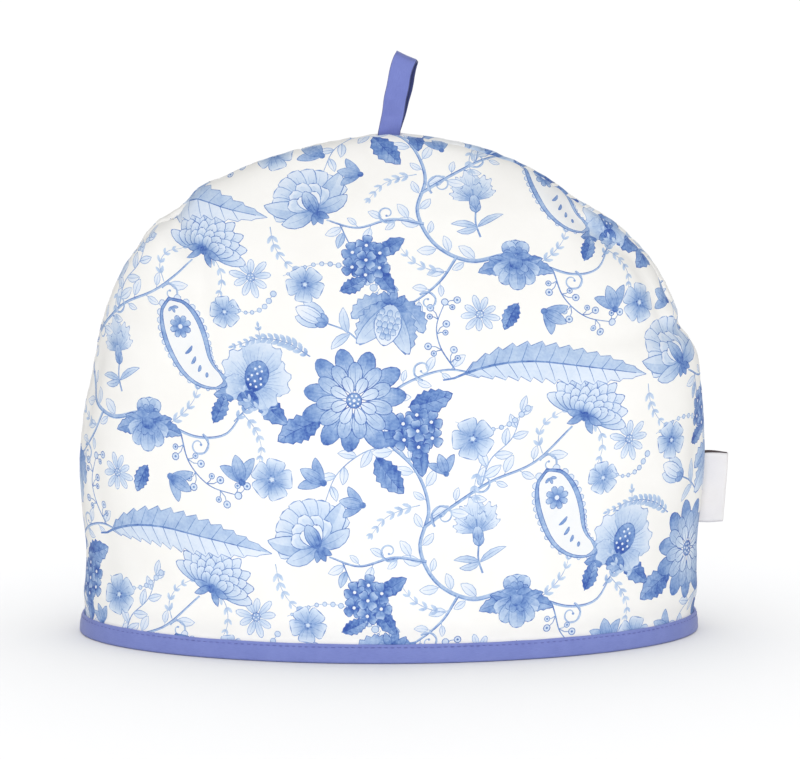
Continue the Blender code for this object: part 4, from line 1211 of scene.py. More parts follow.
def relief(u, v, panel):
    """How far the cloth lies below the plain padded surface."""
    z = CREST * (1.0 - w_at(v) ** 2)
    clear = smooth((z - 9.5 * MM) / (18.0 * MM))
    d = from_seam(u, v)
    s = along_seam(u, v)
    seed = 3 if panel < 0 else 8
    # gathers that run in from the seam
    wobble = s + 2.2 * MM * patchy(s, d, 21 * MM, seed + 20)
    beat = 0.55 + 0.45 * patchy(s, 0 * s, 34 * MM, seed + 21)
    gather = np.sin(wobble * math.tau / (9.5 * MM)) + 0.6 * np.sin(wobble * math.tau / (14.2 * MM) + 1.7)
    pucker = 0.34 * MM * beat * gather * np.exp(-d / (6.5 * MM)) * smooth(d / (1.4 * MM))
    # the wadding
    soft = 0.55 * MM * patchy(u, v, 52 * MM, seed) + 0.26 * MM * patchy(u, v, 24 * MM, seed + 1)
    soft = soft + 0.10 * MM * patchy(u, v, 9 * MM, seed + 2)
    soft = soft * smooth(d / (14 * MM))
    # pulled by the stitches of the binding
    row = np.sin(u * math.tau / (3.0 * MM)) * 0.05 * MM + 0.22 * MM * patchy(u, 0 * u, 13 * MM, seed + 5)
    pull = row * np.exp(-((z - 10.5 * MM) / (5.0 * MM)) ** 2) * smooth((z - 9.0 * MM) / (2.0 * MM))
    # the padding rolls over above the binding
    roll = -0.75 * MM * np.exp(-((z - 17 * MM) / (6.5 * MM)) ** 2)
    # the cloth turns in sharply at the seam itself
    turned = 2.0 * MM * np.exp(-d / (0.9 * MM)) * smooth((z - 16.0 * MM) / (12.0 * MM))
    return clear * (pucker + soft + folded(u, v, panel) + creased(u, v, panel)) + pull + roll + turned


def lift(u, v, panel, deep=0.0, plainly=False):
    """Points of a panel's cloth, deep metres below its surface."""
    inset = outer_inset(u, v, panel)
    x0, _, z0 = place(u, v, panel, inset)
    gap = slit(x0, z0)
    low = relief(u, v, panel)
    if plainly:
        z = CREST * (1.0 - w_at(v) ** 2)
        low = 0.6 * folded(u, v, panel) * smooth((z - 9.5 * MM) / (18.0 * MM)) * deep
        return np.stack(place(u, v, panel, inset + wall(u, v) * deep + low, gap), -1)
    return np.stack(place(u, v, panel, inset + low + deep, gap), -1)


# ==========================================================================
# Panels
# ==========================================================================
FIRST_V = float(v_at_height(BINDING_CLOTH + CLEAR)) * 1000
TOP_V = float(V_TOP) * 1000
FULL_U = float(HALF_U[-1]) * 1000


def flat_outline(step):
    """The flat panel's outline in mm, anticlockwise from the left of the hem."""
    w0 = float(w_at(FIRST_V * MM))
    w = np.linspace(w0, 0.0, 3000)
    u, v = np.interp(w, W_STEPS, HALF_U) * 1000, np.interp(w, W_STEPS, V_OF_W) * 1000
    run = np.concatenate([[0.0], np.cumsum(np.hypot(np.diff(u), np.diff(v)))])
    n = int(round(run[-1] / step))
    t = np.linspace(0, run[-1], n + 1)
    side = np.stack([np.interp(t, run, u), np.interp(t, run, v)], -1)
    side[-1, 0] = 0.0
    m = int(round(2 * side[0, 0] / step))
    hem = np.stack([np.linspace(-side[0, 0], side[0, 0], m + 1), np.full(m + 1, FIRST_V)], -1)
    left = side[::-1][1:-1] * [-1, 1]
    return np.concatenate([hem[:-1], side, left])


def in_panel(P, margin=0.0):
    u, v = P[:, 0] * MM, P[:, 1] * MM
    return (np.abs(P[:, 0]) <= half_u(np.clip(v, 0, V_TOP)) * 1000 + margin) & \
        (P[:, 1] >= FIRST_V - margin) & (P[:, 1] <= TOP_V + margin)


def base_points(step):
    """Points of the plain cloth: rows beside the seam and the hem, then an even field."""
    rows = []
    edge = flat_outline(step)
    nxt, prv = np.roll(edge, -1, 0), np.roll(edge, 1, 0)
    t = nxt - prv
    t /= np.linalg.norm(t, axis=1, keepdims=True)
    nrm = np.stack([-t[:, 1], t[:, 0]], -1)
    for d in (0.9, 2.0, 3.5, 5.4, 7.7):
        P = edge + nrm * d
        ok = (from_seam(P[:, 0] * MM, P[:, 1] * MM) * 1000 > d * 0.8) & in_panel(P) & (P[:, 1] > 24)
        rows.append(P[ok])
    n = int(2 * FULL_U / step)
    for z in (2.6, 4.4, 6.4, 8.2, 9.2, 10.0, 11.0, 12.2, 13.8, 15.8, 18.0, 20.5, 23.2):
        v = float(v_at_height(z * MM)) * 1000
        half = float(half_u(v * MM)) * 1000
        P = np.stack([np.linspace(-half + 1.2, half - 1.2, n), np.full(n, v)], -1)
        rows.append(P)
    h = step * math.sqrt(3) / 2
    k = np.arange(int((TOP_V - 25) / h) + 1)
    for j in k:
        v = 26.0 + j * h
        u = np.arange(-FULL_U, FULL_U, step) + (step / 2 if j % 2 else 0.0)
        P = np.stack([u, np.full(len(u), v)], -1)
        P = P[in_panel(P)]
        rows.append(P[from_seam(P[:, 0] * MM, P[:, 1] * MM) * 1000 > 9.6])
    return edge, np.concatenate(rows)


def flat_mesh(points, edges):
    """Triangles through all points that keep all edges, crossing ones cut at their crossings."""
    co, _, tris, _, _, _ = delaunay_2d_cdt([Vector(p) for p in points], edges, [], 0, 1e-4, True)
    co = np.array([tuple(c) for c in co])
    T = np.array([t for t in tris])
    a, b, c = co[T[:, 0]], co[T[:, 1]], co[T[:, 2]]
    area = ((b - a)[:, 0] * (c - a)[:, 1] - (b - a)[:, 1] * (c - a)[:, 0]) / 2
    T[area < 0] = T[area < 0][:, ::-1]
    return co, T


def painted(P, ink):
    """Which painted shape lies on top at each point, or -1 for bare cloth."""
    order = np.argsort(P[:, 0], kind="stable")
    px, py = P[order, 0], P[order, 1]
    label = np.full(len(P), -1)
    I = np.array(ink.pts)
    for prim, f in ink.faces:
        q = I[f]
        (x0, y0), (x1, y1) = q.min(0), q.max(0)
        i0, i1 = np.searchsorted(px, (x0, x1))
        if i0 >= i1:
            continue
        sub = py[i0:i1]
        near = np.nonzero((sub >= y0) & (sub <= y1))[0] + i0
        if not len(near):
            continue
        X, Y = px[near][:, None], py[near][:, None]
        xa, ya = q[:, 0], q[:, 1]
        xb, yb = np.roll(xa, -1), np.roll(ya, -1)
        span = np.where(np.abs(yb - ya) < 1e-12, 1e-12, yb - ya)
        hit = ((ya > Y) != (yb > Y)) & (X < xa + (Y - ya) * (xb - xa) / span)
        label[near[hit.sum(1) % 2 == 1]] = prim
    out = np.empty(len(P), int)
    out[order] = label
    return out


def seen_outlines(ink):
    """The ends of the outlines that aren't painted over, as points and edges."""
    co, T = flat_mesh(ink.pts, ink.edges)
    top = painted(co[T].mean(1), ink)
    ed = np.concatenate([T[:, [0, 1]], T[:, [1, 2]], T[:, [2, 0]]])
    lab = np.tile(top, 3)
    lo, hi = ed.min(1), ed.max(1)
    key = lo * len(co) + hi
    o = np.argsort(key, kind="stable")
    key, lab, lo, hi = key[o], lab[o], lo[o], hi[o]
    _, st, ct = np.unique(key, return_index=True, return_counts=True)
    other = np.where(ct > 1, lab[np.minimum(st + 1, len(lab) - 1)], -1)
    show = lab[st] != other
    E = np.stack([lo[st][show], hi[st][show]], -1)
    used, E = np.unique(E, return_inverse=True)
    return co[used], E.reshape(-1, 2)


_cell = Ink()
design(_cell)
CELL_POINTS, CELL_EDGES = seen_outlines(_cell)
print("one repeat", len(_cell.pts), "points drawn", len(CELL_POINTS), "seen")


def printed(across, up):
    """The pattern of one panel: the repeat shifted by (across, up)."""
    ink, points, edges = Ink(), [], []
    for i in range(-3, 4):
        for j in range(-4, 5):
            ox, oy = i * CELL_W + across, j * CELL_H + i * CELL_H / 2 + up
            if ox > FULL_U + 30 or ox + CELL_W < -FULL_U - 30 or oy > TOP_V + 30 or oy + CELL_H < -30:
                continue
            with ink.at(ox, oy):
                design(ink)
            P = CELL_POINTS + [ox, oy]
            ok = in_panel(P, 1.5)
            keep = ok[CELL_EDGES[:, 0]] & ok[CELL_EDGES[:, 1]]
            used, E = np.unique(CELL_EDGES[keep], return_inverse=True)
            edges.append(E.reshape(-1, 2) + sum(len(p) for p in points))
            points.append(P[used])
    return ink, np.concatenate(points), np.concatenate(edges)


def within(P, outline):
    """Which points lie inside a closed outline (even-odd)."""
    order = np.argsort(P[:, 1])
    px, py = P[order, 0], P[order, 1]
    odd = np.zeros(len(P), int)
    for (xa, ya), (xb, yb) in zip(outline, np.roll(outline, -1, 0)):
        if abs(yb - ya) < 1e-12:
            continue
        i0, i1 = np.searchsorted(py, (min(ya, yb), max(ya, yb)))
        s = slice(i0, i1)
        odd[s] += px[s] < xa + (py[s] - ya) * (xb - xa) / (yb - ya)
    inside = np.zeros(len(P), bool)
    inside[order] = odd % 2 == 1
    return inside


def build_panel(name, panel, across, up, step=3.4, inner_step=8.0):
    edge, field = base_points(step)
    ink, drawn, lines = printed(across, up)
    n_edge, n_field = len(edge), len(field)
    outline = np.stack([np.arange(n_edge), np.roll(np.arange(n_edge), -1)], -1)
    E = np.concatenate([outline, lines + n_edge + n_field])
    co, T = flat_mesh(np.concatenate([edge, field, drawn]), [tuple(int(i) for i in e) for e in E])
    # keep what lies in the panel's own outline
    T = T[within(co[T].mean(1), edge)]
    used = np.unique(T)
    back = np.full(len(co), -1)
    back[used] = np.arange(len(used))
    co, T = co[used], back[T]
    prim = painted(co[T].mean(1), ink)

    # ink at each corner
    R = np.array(ink.prims + [(0,) * 13])
    r = R[prim][:, None, :]
    Q = co[T]
    dx, dy = Q[..., 0] - r[..., 0], Q[..., 1] - r[..., 1]
    A = np.clip(dx * r[..., 2] + dy * r[..., 3], 0, 1)
    B = np.clip(dx * r[..., 4] + dy * r[..., 5], -1, 1)
    tone = r[..., 6] + r[..., 7] * A + r[..., 8] * A * A + r[..., 9] * np.abs(B) + r[..., 10] * B * B + r[..., 11] * B
    tone = np.clip(tone, 0, 1)
    tone[prim < 0] = 0.0
    seed = (np.where(prim < 0, 0, prim) * 0.6180339887) % 1.0

    # the boundary of the outer cloth, in order
    ed = np.concatenate([T[:, [0, 1]], T[:, [1, 2]], T[:, [2, 0]]])
    key = {}
    for i, j in ed:
        key[(int(i), int(j))] = True
    follow = {i: j for (i, j) in key if (j, i) not in key}
    start = next(iter(follow))
    rim, cur = [start], follow[start]
    while cur != start:
        rim.append(cur)
        cur = follow[cur]
    rim = np.array(rim)
    assert len(rim) == len(follow), (len(rim), len(follow))

    # inner face of the padding, on the same rim
    n_out = len(co)
    rim2 = co[rim]
    h = inner_step * math.sqrt(3) / 2
    field = []
    for j in range(int(TOP_V / h) + 1):
        v = FIRST_V + 3.0 + j * h
        u = np.arange(-FULL_U, FULL_U, inner_step) + (inner_step / 2 if j % 2 else 0.0)
        F = np.stack([u, np.full(len(u), v)], -1)
        F = F[in_panel(F)]
        field.append(F[from_seam(F[:, 0] * MM, F[:, 1] * MM) * 1000 > 3.0])
    field = np.concatenate(field)
    ring = [(i, (i + 1) % len(rim2)) for i in range(len(rim2))]
    ci, _, ti, _, _, _ = delaunay_2d_cdt([Vector(p) for p in np.concatenate([rim2, field])], ring, [], 0, 1e-7, True)
    ci = np.array([tuple(c) for c in ci])
    ti = np.array([t for t in ti])
    ti = ti[within(ci[ti].mean(1), rim2)]
    a, b, c = ci[ti[:, 0]], ci[ti[:, 1]], ci[ti[:, 2]]
    area = ((b - a)[:, 0] * (c - a)[:, 1] - (b - a)[:, 1] * (c - a)[:, 0]) / 2
    ti[area > 0] = ti[area > 0][:, ::-1]
    assert np.abs(ci[:len(rim2)] - rim2).max() < 1e-5, "rim moved"

    outer = lift(co[:, 0] * MM, co[:, 1] * MM, panel)
    inner = lift(ci[:, 0] * MM, ci[:, 1] * MM, panel, 1.0, True)
    mids = []
    for share in (0.33, 0.66):
        m = outer[rim] * (1 - share) + inner[:len(rim)] * share
        mids.append(m)
    verts = np.concatenate([outer, inner] + mids)
    n_in, n_rim = len(ci), len(rim)
    rows = [rim, n_out + n_in + np.arange(n_rim), n_out + n_in + n_rim + np.arange(n_rim), n_out + np.arange(n_rim)]
    quads = []
    for p, q in zip(rows[:-1], rows[1:]):
        quads.append(np.stack([p, q, np.roll(q, -1), np.roll(p, -1)], -1))
    quads = np.concatenate(quads)
    quad_at = np.concatenate([np.stack([k * np.ones(n_rim), np.arange(n_rim)], -1) for k in range(3)])
    if panel > 0:                        # the back panel is turned round
        T, ti, quads = T[:, ::-1], ti[:, ::-1], quads[:, ::-1]
        tone = tone[:, ::-1]
    tri2 = ti + n_out
    loops = np.concatenate([T.ravel(), tri2.ravel(), quads.ravel()])
    sizes = np.concatenate([np.full(len(T) + len(tri2), 3), np.full(len(quads), 4)])
    starts = np.concatenate([[0], np.cumsum(sizes)[:-1]])
    me = bpy.data.meshes.new(name)
    me.vertices.add(len(verts))
    me.vertices.foreach_set("co", verts.astype(np.float32).ravel())
    me.loops.add(len(loops))
    me.loops.foreach_set("vertex_index", loops.astype(np.int32))
    me.polygons.add(len(sizes))
    me.polygons.foreach_set("loop_start", starts.astype(np.int32))
    me.update(calc_edges=True)
    me.validate()

    # colour, flat size in mm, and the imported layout
    col = me.color_attributes.new("ink", "FLOAT_COLOR", "CORNER")
    C = np.zeros((len(loops), 4), np.float32)
    C[:, 3] = 1.0
    n3 = T.size
    C[:n3, 0] = tone.ravel()
    C[:n3, 1] = np.repeat(seed, 3)
    col.data.foreach_set("color", C.ravel())
    flat = np.zeros((len(loops), 2))
    flat[:n3] = co[T.ravel()]
    flat[n3:n3 + ti.size] = ci[ti.ravel()]
    around = np.concatenate([[0], np.cumsum(np.linalg.norm(np.diff(rim2, axis=0), axis=1))])
    span = around[-1]
    qk = np.repeat(quad_at, 4, axis=0)
    dk = np.tile(np.array([[0, 0], [1, 0], [1, 1], [0, 1]]), (len(quads), 1))
    if panel > 0:
        dk = np.tile(np.array([[0, 0], [1, 0], [1, 1], [0, 1]])[::-1], (len(quads), 1))
    along = np.append(around, span)[(qk[:, 1] + dk[:, 1]).astype(int)]
    flat[n3 + ti.size:] = np.stack([along, (qk[:, 0] + dk[:, 0]) * 1.2], -1)
    me.uv_layers.new(name="cloth_mm").data.foreach_set("uv", flat.astype(np.float32).ravel())
    side = 2 * FULL_U + 4
    U = np.zeros_like(flat)
    U[:n3] = np.stack([flat[:n3, 0] / side + 0.5, flat[:n3, 1] / side + 0.004], -1)
    i0, i1 = n3, n3 + ti.size
    U[i0:i1] = np.stack([(flat[i0:i1, 0] / side + 0.5) * 0.30 + 0.01, flat[i0:i1, 1] / side * 0.30 + 0.76], -1)
    U[i1:] = np.stack([0.36 + 0.62 * flat[i1:, 0] / span, 0.80 + flat[i1:, 1] * 0.01], -1)
    lay = me.uv_layers.new(name="OFBake")
    lay.data.foreach_set("uv", U.astype(np.float32).ravel())
    me.uv_layers.active = lay
    me.polygons.foreach_set("use_smooth", np.ones(len(sizes), bool))

    # true normals of the outer cloth, away from its edges
    nrm = np.zeros((len(verts), 3))
    e = 0.35 * MM
    uu, vv = co[:, 0] * MM, co[:, 1] * MM
    du = lift(uu + e, vv, panel) - lift(uu - e, vv, panel)
    dv = lift(uu, vv + e, panel) - lift(uu, vv - e, panel)
    n = np.cross(du, dv) * (-1 if panel > 0 else 1)
    far = (from_seam(uu, vv) > 1.2 * MM) & (vv > FIRST_V * MM + 0.8 * MM)
    nn = np.zeros(len(verts) * 3, np.float32)
    me.vertices.foreach_get("normal", nn)
    nrm[:] = nn.reshape(-1, 3)
    n /= np.maximum(np.linalg.norm(n, axis=1, keepdims=True), 1e-12)
    agree = np.einsum("ij,ij->i", n, nrm[:n_out])
    far &= agree > 0.3
    nrm[:n_out][far] = n[far]
    me.normals_split_custom_set_from_vertices(nrm.astype(np.float32))
    ob = bpy.data.objects.new(name, me)
    bpy.context.scene.collection.objects.link(ob)
    print(name, "vertices", len(verts), "triangles", len(T) + len(ti) + 2 * len(quads),
          "agree", float(agree.mean()), "far", int(far.sum()))
    return ob


def mesh_piece(name, verts, faces, smooth_all=True):
    me = bpy.data.meshes.new(name)
    me.from_pydata([tuple(map(float, p)) for p in verts], [], [tuple(int(i) for i in f) for f in faces])
    me.validate()
    if smooth_all:
        me.polygons.foreach_set("use_smooth", np.ones(len(me.polygons), bool))
    ob = bpy.data.objects.new(name, me)
    bpy.context.scene.collection.objects.link(ob)
    return ob


def set_uv(ob, name, coords):
    """coords: one pair for each loop, in face order."""
    lay = ob.data.uv_layers.get(name) or ob.data.uv_layers.new(name=name)
    lay.data.foreach_set("uv", np.asarray(coords, np.float32).ravel())
    return lay


# ==========================================================================
# Binding
# ==========================================================================
def binding_section():
    """Inset and height round the folded strip, from inside to outside, in mm."""
    c, wide, tall = BINDING_CLOTH * 1000, (CHANNEL + 2 * BINDING_CLOTH) * 1000, BINDING_TALL * 1000
    P = []

    def arc(cx, cy, rx, ry, a0, a1, n):
        for t in np.linspace(math.radians(a0), math.radians(a1), n):
            P.append((cx + rx * math.cos(t), cy + ry * math.sin(t)))

    # outer wall, folded top edge, inner side of the outer layer, floor, and so on
    P += [(0.10, 2.2), (-0.10, 4.6), (0.0, 6.8), (0.12, 8.0)]
    arc(0.12 + 0.50, tall - 0.55, 0.50, 0.55, 170, 10, 6)
    P += [(c, tall - 1.6), (c, 5.0), (c, c + 0.4)]
    P += [(c + 0.5, c), (wide / 2, c), (wide - c - 0.5, c)]
    P += [(wide - c, c + 0.4), (wide - c, 5.0), (wide - c, tall - 1.6)]
    arc(wide - 0.12 - 0.50, tall - 0.55, 0.50, 0.55, 170, 10, 6)
    P += [(wide - 0.12, 8.0), (wide, 6.8), (wide + 0.05, 4.6), (wide - 0.10, 2.2)]
    arc(wide - 1.25, 1.25, 1.15, 1.25, 0, -90, 5)
    P += [(wide * 0.5, 0.0)]
    arc(1.25, 1.25, 1.15, 1.25, 270, 180, 5)
    return np.array(P)


def ring_stations(per_side):
    s = np.linspace(-1, 1, per_side + 1)
    out = [(-1, k) for k in s[:-1]] + [(1, k) for k in s[::-1][:-1]]
    return out


def binding_point(panel, k, inset_mm, height_mm):
    v = np.array([v_at_height(height_mm * MM)])
    u = k * half_u(v)
    x, y, _ = place(u, v, panel, np.array([inset_mm * MM]))
    return np.array([float(x[0]), float(y[0]), height_mm * MM])


def build_binding(name, per_side=150):
    S = binding_section()
    st = ring_stations(per_side)
    heights = S[:, 1]
    v = np.array([v_at_height(h * MM) for h in heights])
    rings = []
    run = 0.0
    runs = []
    last = None
    for panel, k in st:
        u = k * half_u(v)
        base = k * FULL_U
        seed = 4 if panel < 0 else 6
        # slightly uneven folded edge, and a gentle ripple of the bias strip
        edge = 0.16 * float(patchy(np.array([base]), np.array([0.0]), 17.0, seed)[0]) \
            + 0.07 * float(patchy(np.array([base]), np.array([3.0]), 5.5, seed)[0])
        bulge = 0.13 * float(patchy(np.array([base]), np.array([9.0]), 12.0, seed)[0])
        fade = 1.0 - abs(k) ** 12
        up = np.clip((heights - 6.0) / 3.0, 0, 1)
        outside = np.where(S[:, 0] < 1.0, 1.0, np.where(S[:, 0] > CHANNEL * 1000 + 1.0, -1.0, 0.0))
        inset = S[:, 0] + bulge * fade * outside * np.sin(np.clip(heights / 9.2, 0, 1) * math.pi)
        # the stitches pull the strip in a little below its edge
        dent = 0.10 * np.exp(-((heights - 7.7) / 0.6) ** 2)
        inset = inset + dent * outside
        x, y, _ = place(u, v, panel, inset * MM)
        z = (heights + edge * fade * up) * MM
        p = np.stack([x, y, z], -1)
        if last is not None:
            run += float(np.linalg.norm(p[0] - last))
        last = p[0]
        runs.append(run)
        rings.append(p)
    m, n = len(rings), len(S)
    total = run + float(np.linalg.norm(rings[0][0] - rings[-1][0]))
    girth = np.concatenate([[0], np.cumsum(np.linalg.norm(np.diff(np.vstack([S, S[:1]]), axis=0), axis=1))])
    verts = np.concatenate(rings)
    faces, flat, pack = [], [], []
    strips = 6
    per = m / strips
    for i in range(m):
        r0, r1 = runs[i] * 1000, (runs[i + 1] if i + 1 < m else total) * 1000
        strip = int(i // per)
        f0, f1 = (i - strip * per) / per, (i + 1 - strip * per) / per
        for j in range(n):
            a, b = i * n + j, i * n + (j + 1) % n
            c, d = ((i + 1) % m) * n + (j + 1) % n, ((i + 1) % m) * n + j
            faces.append((a, d, c, b))
            g0, g1 = girth[j], girth[j + 1]
            flat += [(r0, g0), (r1, g0), (r1, g1), (r0, g1)]
            q0, q1 = (strip + 0.04 + 0.92 * g0 / girth[-1]) / strips, (strip + 0.04 + 0.92 * g1 / girth[-1]) / strips
            x0, x1 = 0.01 + 0.98 * f0, 0.01 + 0.98 * f1
            pack += [(x0, q0), (x1, q0), (x1, q1), (x0, q1)]
    ob = mesh_piece(name, verts, faces)
    set_uv(ob, "cloth_mm", flat)
    set_uv(ob, "OFBake", pack)
    ob.data.uv_layers.active = ob.data.uv_layers["OFBake"]
    return ob, total


def thread(path, radius, sides=5, sink=0.0):
    """The points of a path and the unit direction along it at each point."""
    P = np.asarray(path, float)
    d = np.gradient(P, axis=0)
    d /= np.linalg.norm(d, axis=1, keepdims=True)
    return P, d


class Stitches:
    def __init__(self):
        self.v, self.f, self.uv = [], [], []

    def add(self, a, b, out, radius, high, sides=6, steps=5):
        """A stitch from a to b that stands high above the cloth at its middle."""
        a, b, out = np.asarray(a), np.asarray(b), np.asarray(out)
        along = b - a
        length = np.linalg.norm(along)
        along = along / length
        side = np.cross(out, along)
        base = len(self.v)
        for i in range(steps):
            t = i / (steps - 1)
            arch = math.sin(math.pi * t) ** 0.6
            c = a + along * length * t + out * (high * arch - radius * 0.9)
            r = radius * (0.55 + 0.45 * arch)
            for k in range(sides):
                w = math.tau * k / sides
                self.v.append(c + side * (r * math.cos(w)) + out * (r * math.sin(w) * 0.85))
        for i in range(steps - 1):
            for k in range(sides):
                p, q = base + i * sides + k, base + i * sides + (k + 1) % sides
                self.f.append((p, q, q + sides, p + sides))
        self.f.append(tuple(base + k for k in range(sides))[::-1])
        self.f.append(tuple(base + (steps - 1) * sides + k for k in range(sides)))

    def piece(self, name):
        ob = mesh_piece(name, self.v, self.f)
        bm = bmesh.new()
        bm.from_mesh(ob.data)
        bmesh.ops.recalc_face_normals(bm, faces=bm.faces)
        bm.to_mesh(ob.data)
        bm.free()
        return ob


def build_hem_stitches(name, pitch=3.05, long=2.15, low=7.75):
    st = Stitches()
    fine = ring_stations(900)
    for face, inset in ((1, 0.10), (-1, (CHANNEL + 2 * BINDING_CLOTH) * 1000 - 0.10)):
        P = np.array([binding_point(p, k, inset, low) for p, k in fine])
        P = np.vstack([P, P[:1]])
        run = np.concatenate([[0], np.cumsum(np.linalg.norm(np.diff(P, axis=0), axis=1))]) * 1000
        n = int(run[-1] / pitch)
        for i in range(n):
            jit = 0.12 * math.sin(i * 12.9898 + 4.1)
            r0 = i * run[-1] / n + jit
            r1 = r0 + long
            pa = np.array([np.interp(r0, run, P[:, c]) for c in range(3)])
            pb = np.array([np.interp(r1, run, P[:, c]) for c in range(3)])
            z = 0.07 * MM * math.sin(i * 0.37) + 0.05 * MM * math.sin(i * 1.9)
            pa, pb = pa + [0, 0, z], pb + [0, 0, z]
            al = (pb - pa) / np.linalg.norm(pb - pa)
            out = np.cross(al, [0, 0, 1.0]) * face
            st.add(pa, pb, out, 0.21 * MM, 0.26 * MM)
    return st.piece(name)


# ==========================================================================
# Hanging loop: a folded tape, its two sewn ends in the seam
# ==========================================================================
def loop_frame():
    """The tape's middle line: left end up, over the fold and down to the right end."""
    tab = LOOP_SHAPE
    n = len(tab["up"])
    q = np.concatenate([np.linspace(-LOOP_ROOT * 0.8, 0, 5)[:-1], np.linspace(0, tab["up"][-1], 40)])
    gap = read(tab, "up", "half_gap", np.maximum(q, 0.0)) + LOOP_TAPE / 2
    top = tab["up"][-1]
    # a rounded top
    r = np.clip((q - (top - 3.4 * MM)) / (3.4 * MM), 0, 1)
    wide = read(tab, "up", "half_gap", np.array([top - 3.4 * MM]))[0] + LOOP_TAPE / 2
    gap = np.where(q > top - 3.4 * MM, wide * np.sqrt(np.maximum(1 - r ** 2.2, 0)), gap)
    top_q = q + LOOP_TAPE / 2 * smooth(q / top)
    left = np.stack([-gap, top_q], -1)
    right = np.stack([gap, top_q], -1)[::-1][1:]
    return np.concatenate([left, right])


def loop_world(p, q, across):
    crest = CREST + float(read(CROWN, "across", "lift", LOOP_AT))
    lean = float(read(LOOP_SHAPE, "up", "lean", max(q, 0.0)))
    tilt = 0.41 * float(smooth((q - 8.0 * MM) / (28.0 * MM)))
    turn = float(smooth(q / (8 * MM)))
    ax = across * math.cos(tilt)
    x = ax * math.cos(LOOP_TURN) - p * math.sin(LOOP_TURN) * turn
    y = ax * math.sin(LOOP_TURN) * turn + p
    z = q - across * math.sin(tilt)
    wander = float(read(WANDER, "across", "back", LOOP_AT + lean + ax * (1.0 - turn)))
    return np.array([x + lean + LOOP_AT + CENTRE_X, y + wander + CENTRE_Y, z + crest - GROOVE_DEPTH])


LOOP_ROUND = 24                # points round the section of the tape
LOOP_SHADED = set(range(0, 6)) | set(range(13, 24))    # its inner side and its two thin edges, coloured darker as painted shade


def build_loop(name):
    C = loop_frame()
    d = np.gradient(C, axis=0)
    d /= np.linalg.norm(d, axis=1, keepdims=True)
    out = np.stack([-d[:, 1], d[:, 0]], -1)          # away from the inside
    t, w = LOOP_TAPE / 2, LOOP_WIDE / 2
    # section of the folded tape: rounded edges
    A = []
    for ang in np.linspace(-90, 90, 7):
        A.append((w - 0.55 * MM + 0.55 * MM * math.cos(math.radians(ang)), t * math.sin(math.radians(ang))))
    sec = [(x, y) for x, y in A]
    for f in (0.72, 0.36, 0.0, -0.36, -0.72):
        sec.append((w * f, t * (1.0 - 0.10 * (1 - f * f))))
    sec += [(-x, -y) for x, y in A]
    for f in (-0.72, -0.36, 0.0, 0.36, 0.72):
        sec.append((w * f, -t * (1.0 - 0.10 * (1 - f * f))))
    sec = np.array(sec)
    n, m = len(sec), len(C)
    assert n == LOOP_ROUND
    verts = []
    for i in range(m):
        squeeze = 1.0 if C[i, 1] > 0 else 0.96
        for a, h in sec:
            wave = 0.10 * MM * math.sin(i * 0.7 + a * 420.0) * float(smooth(C[i, 1] / (6 * MM)))
            p, q = C[i] + out[i] * (h * squeeze + wave)
            verts.append(loop_world(p, q, a + 0.12 * MM * math.sin(i * 0.45 + 1.0)))
    run = np.concatenate([[0], np.cumsum(np.linalg.norm(np.diff(C, axis=0), axis=1))]) * 1000
    girth = np.concatenate([[0], np.cumsum(np.linalg.norm(np.diff(np.vstack([sec, sec[:1]]), axis=0), axis=1))]) * 1000
    faces, flat, pack = [], [], []
    for i in range(m - 1):
        for j in range(n):
            a, b = i * n + j, i * n + (j + 1) % n
            faces.append((a, b, b + n, a + n))
            c = [(run[i], girth[j]), (run[i], girth[j + 1]), (run[i + 1], girth[j + 1]), (run[i + 1], girth[j])]
            flat += c
            pack += [(0.01 + 0.98 * x / run[-1], 0.01 + 0.9 * y / girth[-1]) for x, y in c]
    faces.append(tuple(range(n))[::-1])
    faces.append(tuple((m - 1) * n + k for k in range(n)))
    for k in range(2 * n):
        flat.append((0.0, 0.0))
        pack.append((0.01, 0.95))
    ob = mesh_piece(name, verts, faces)
    set_uv(ob, "cloth_mm", flat)
    set_uv(ob, "OFBake", pack)
    ob.data.uv_layers.active = ob.data.uv_layers["OFBake"]
    bm = bmesh.new()
    bm.from_mesh(ob.data)
    bmesh.ops.recalc_face_normals(bm, faces=bm.faces)
    bm.to_mesh(ob.data)
    bm.free()
    return ob, run[-1] / 1000.0, C, out


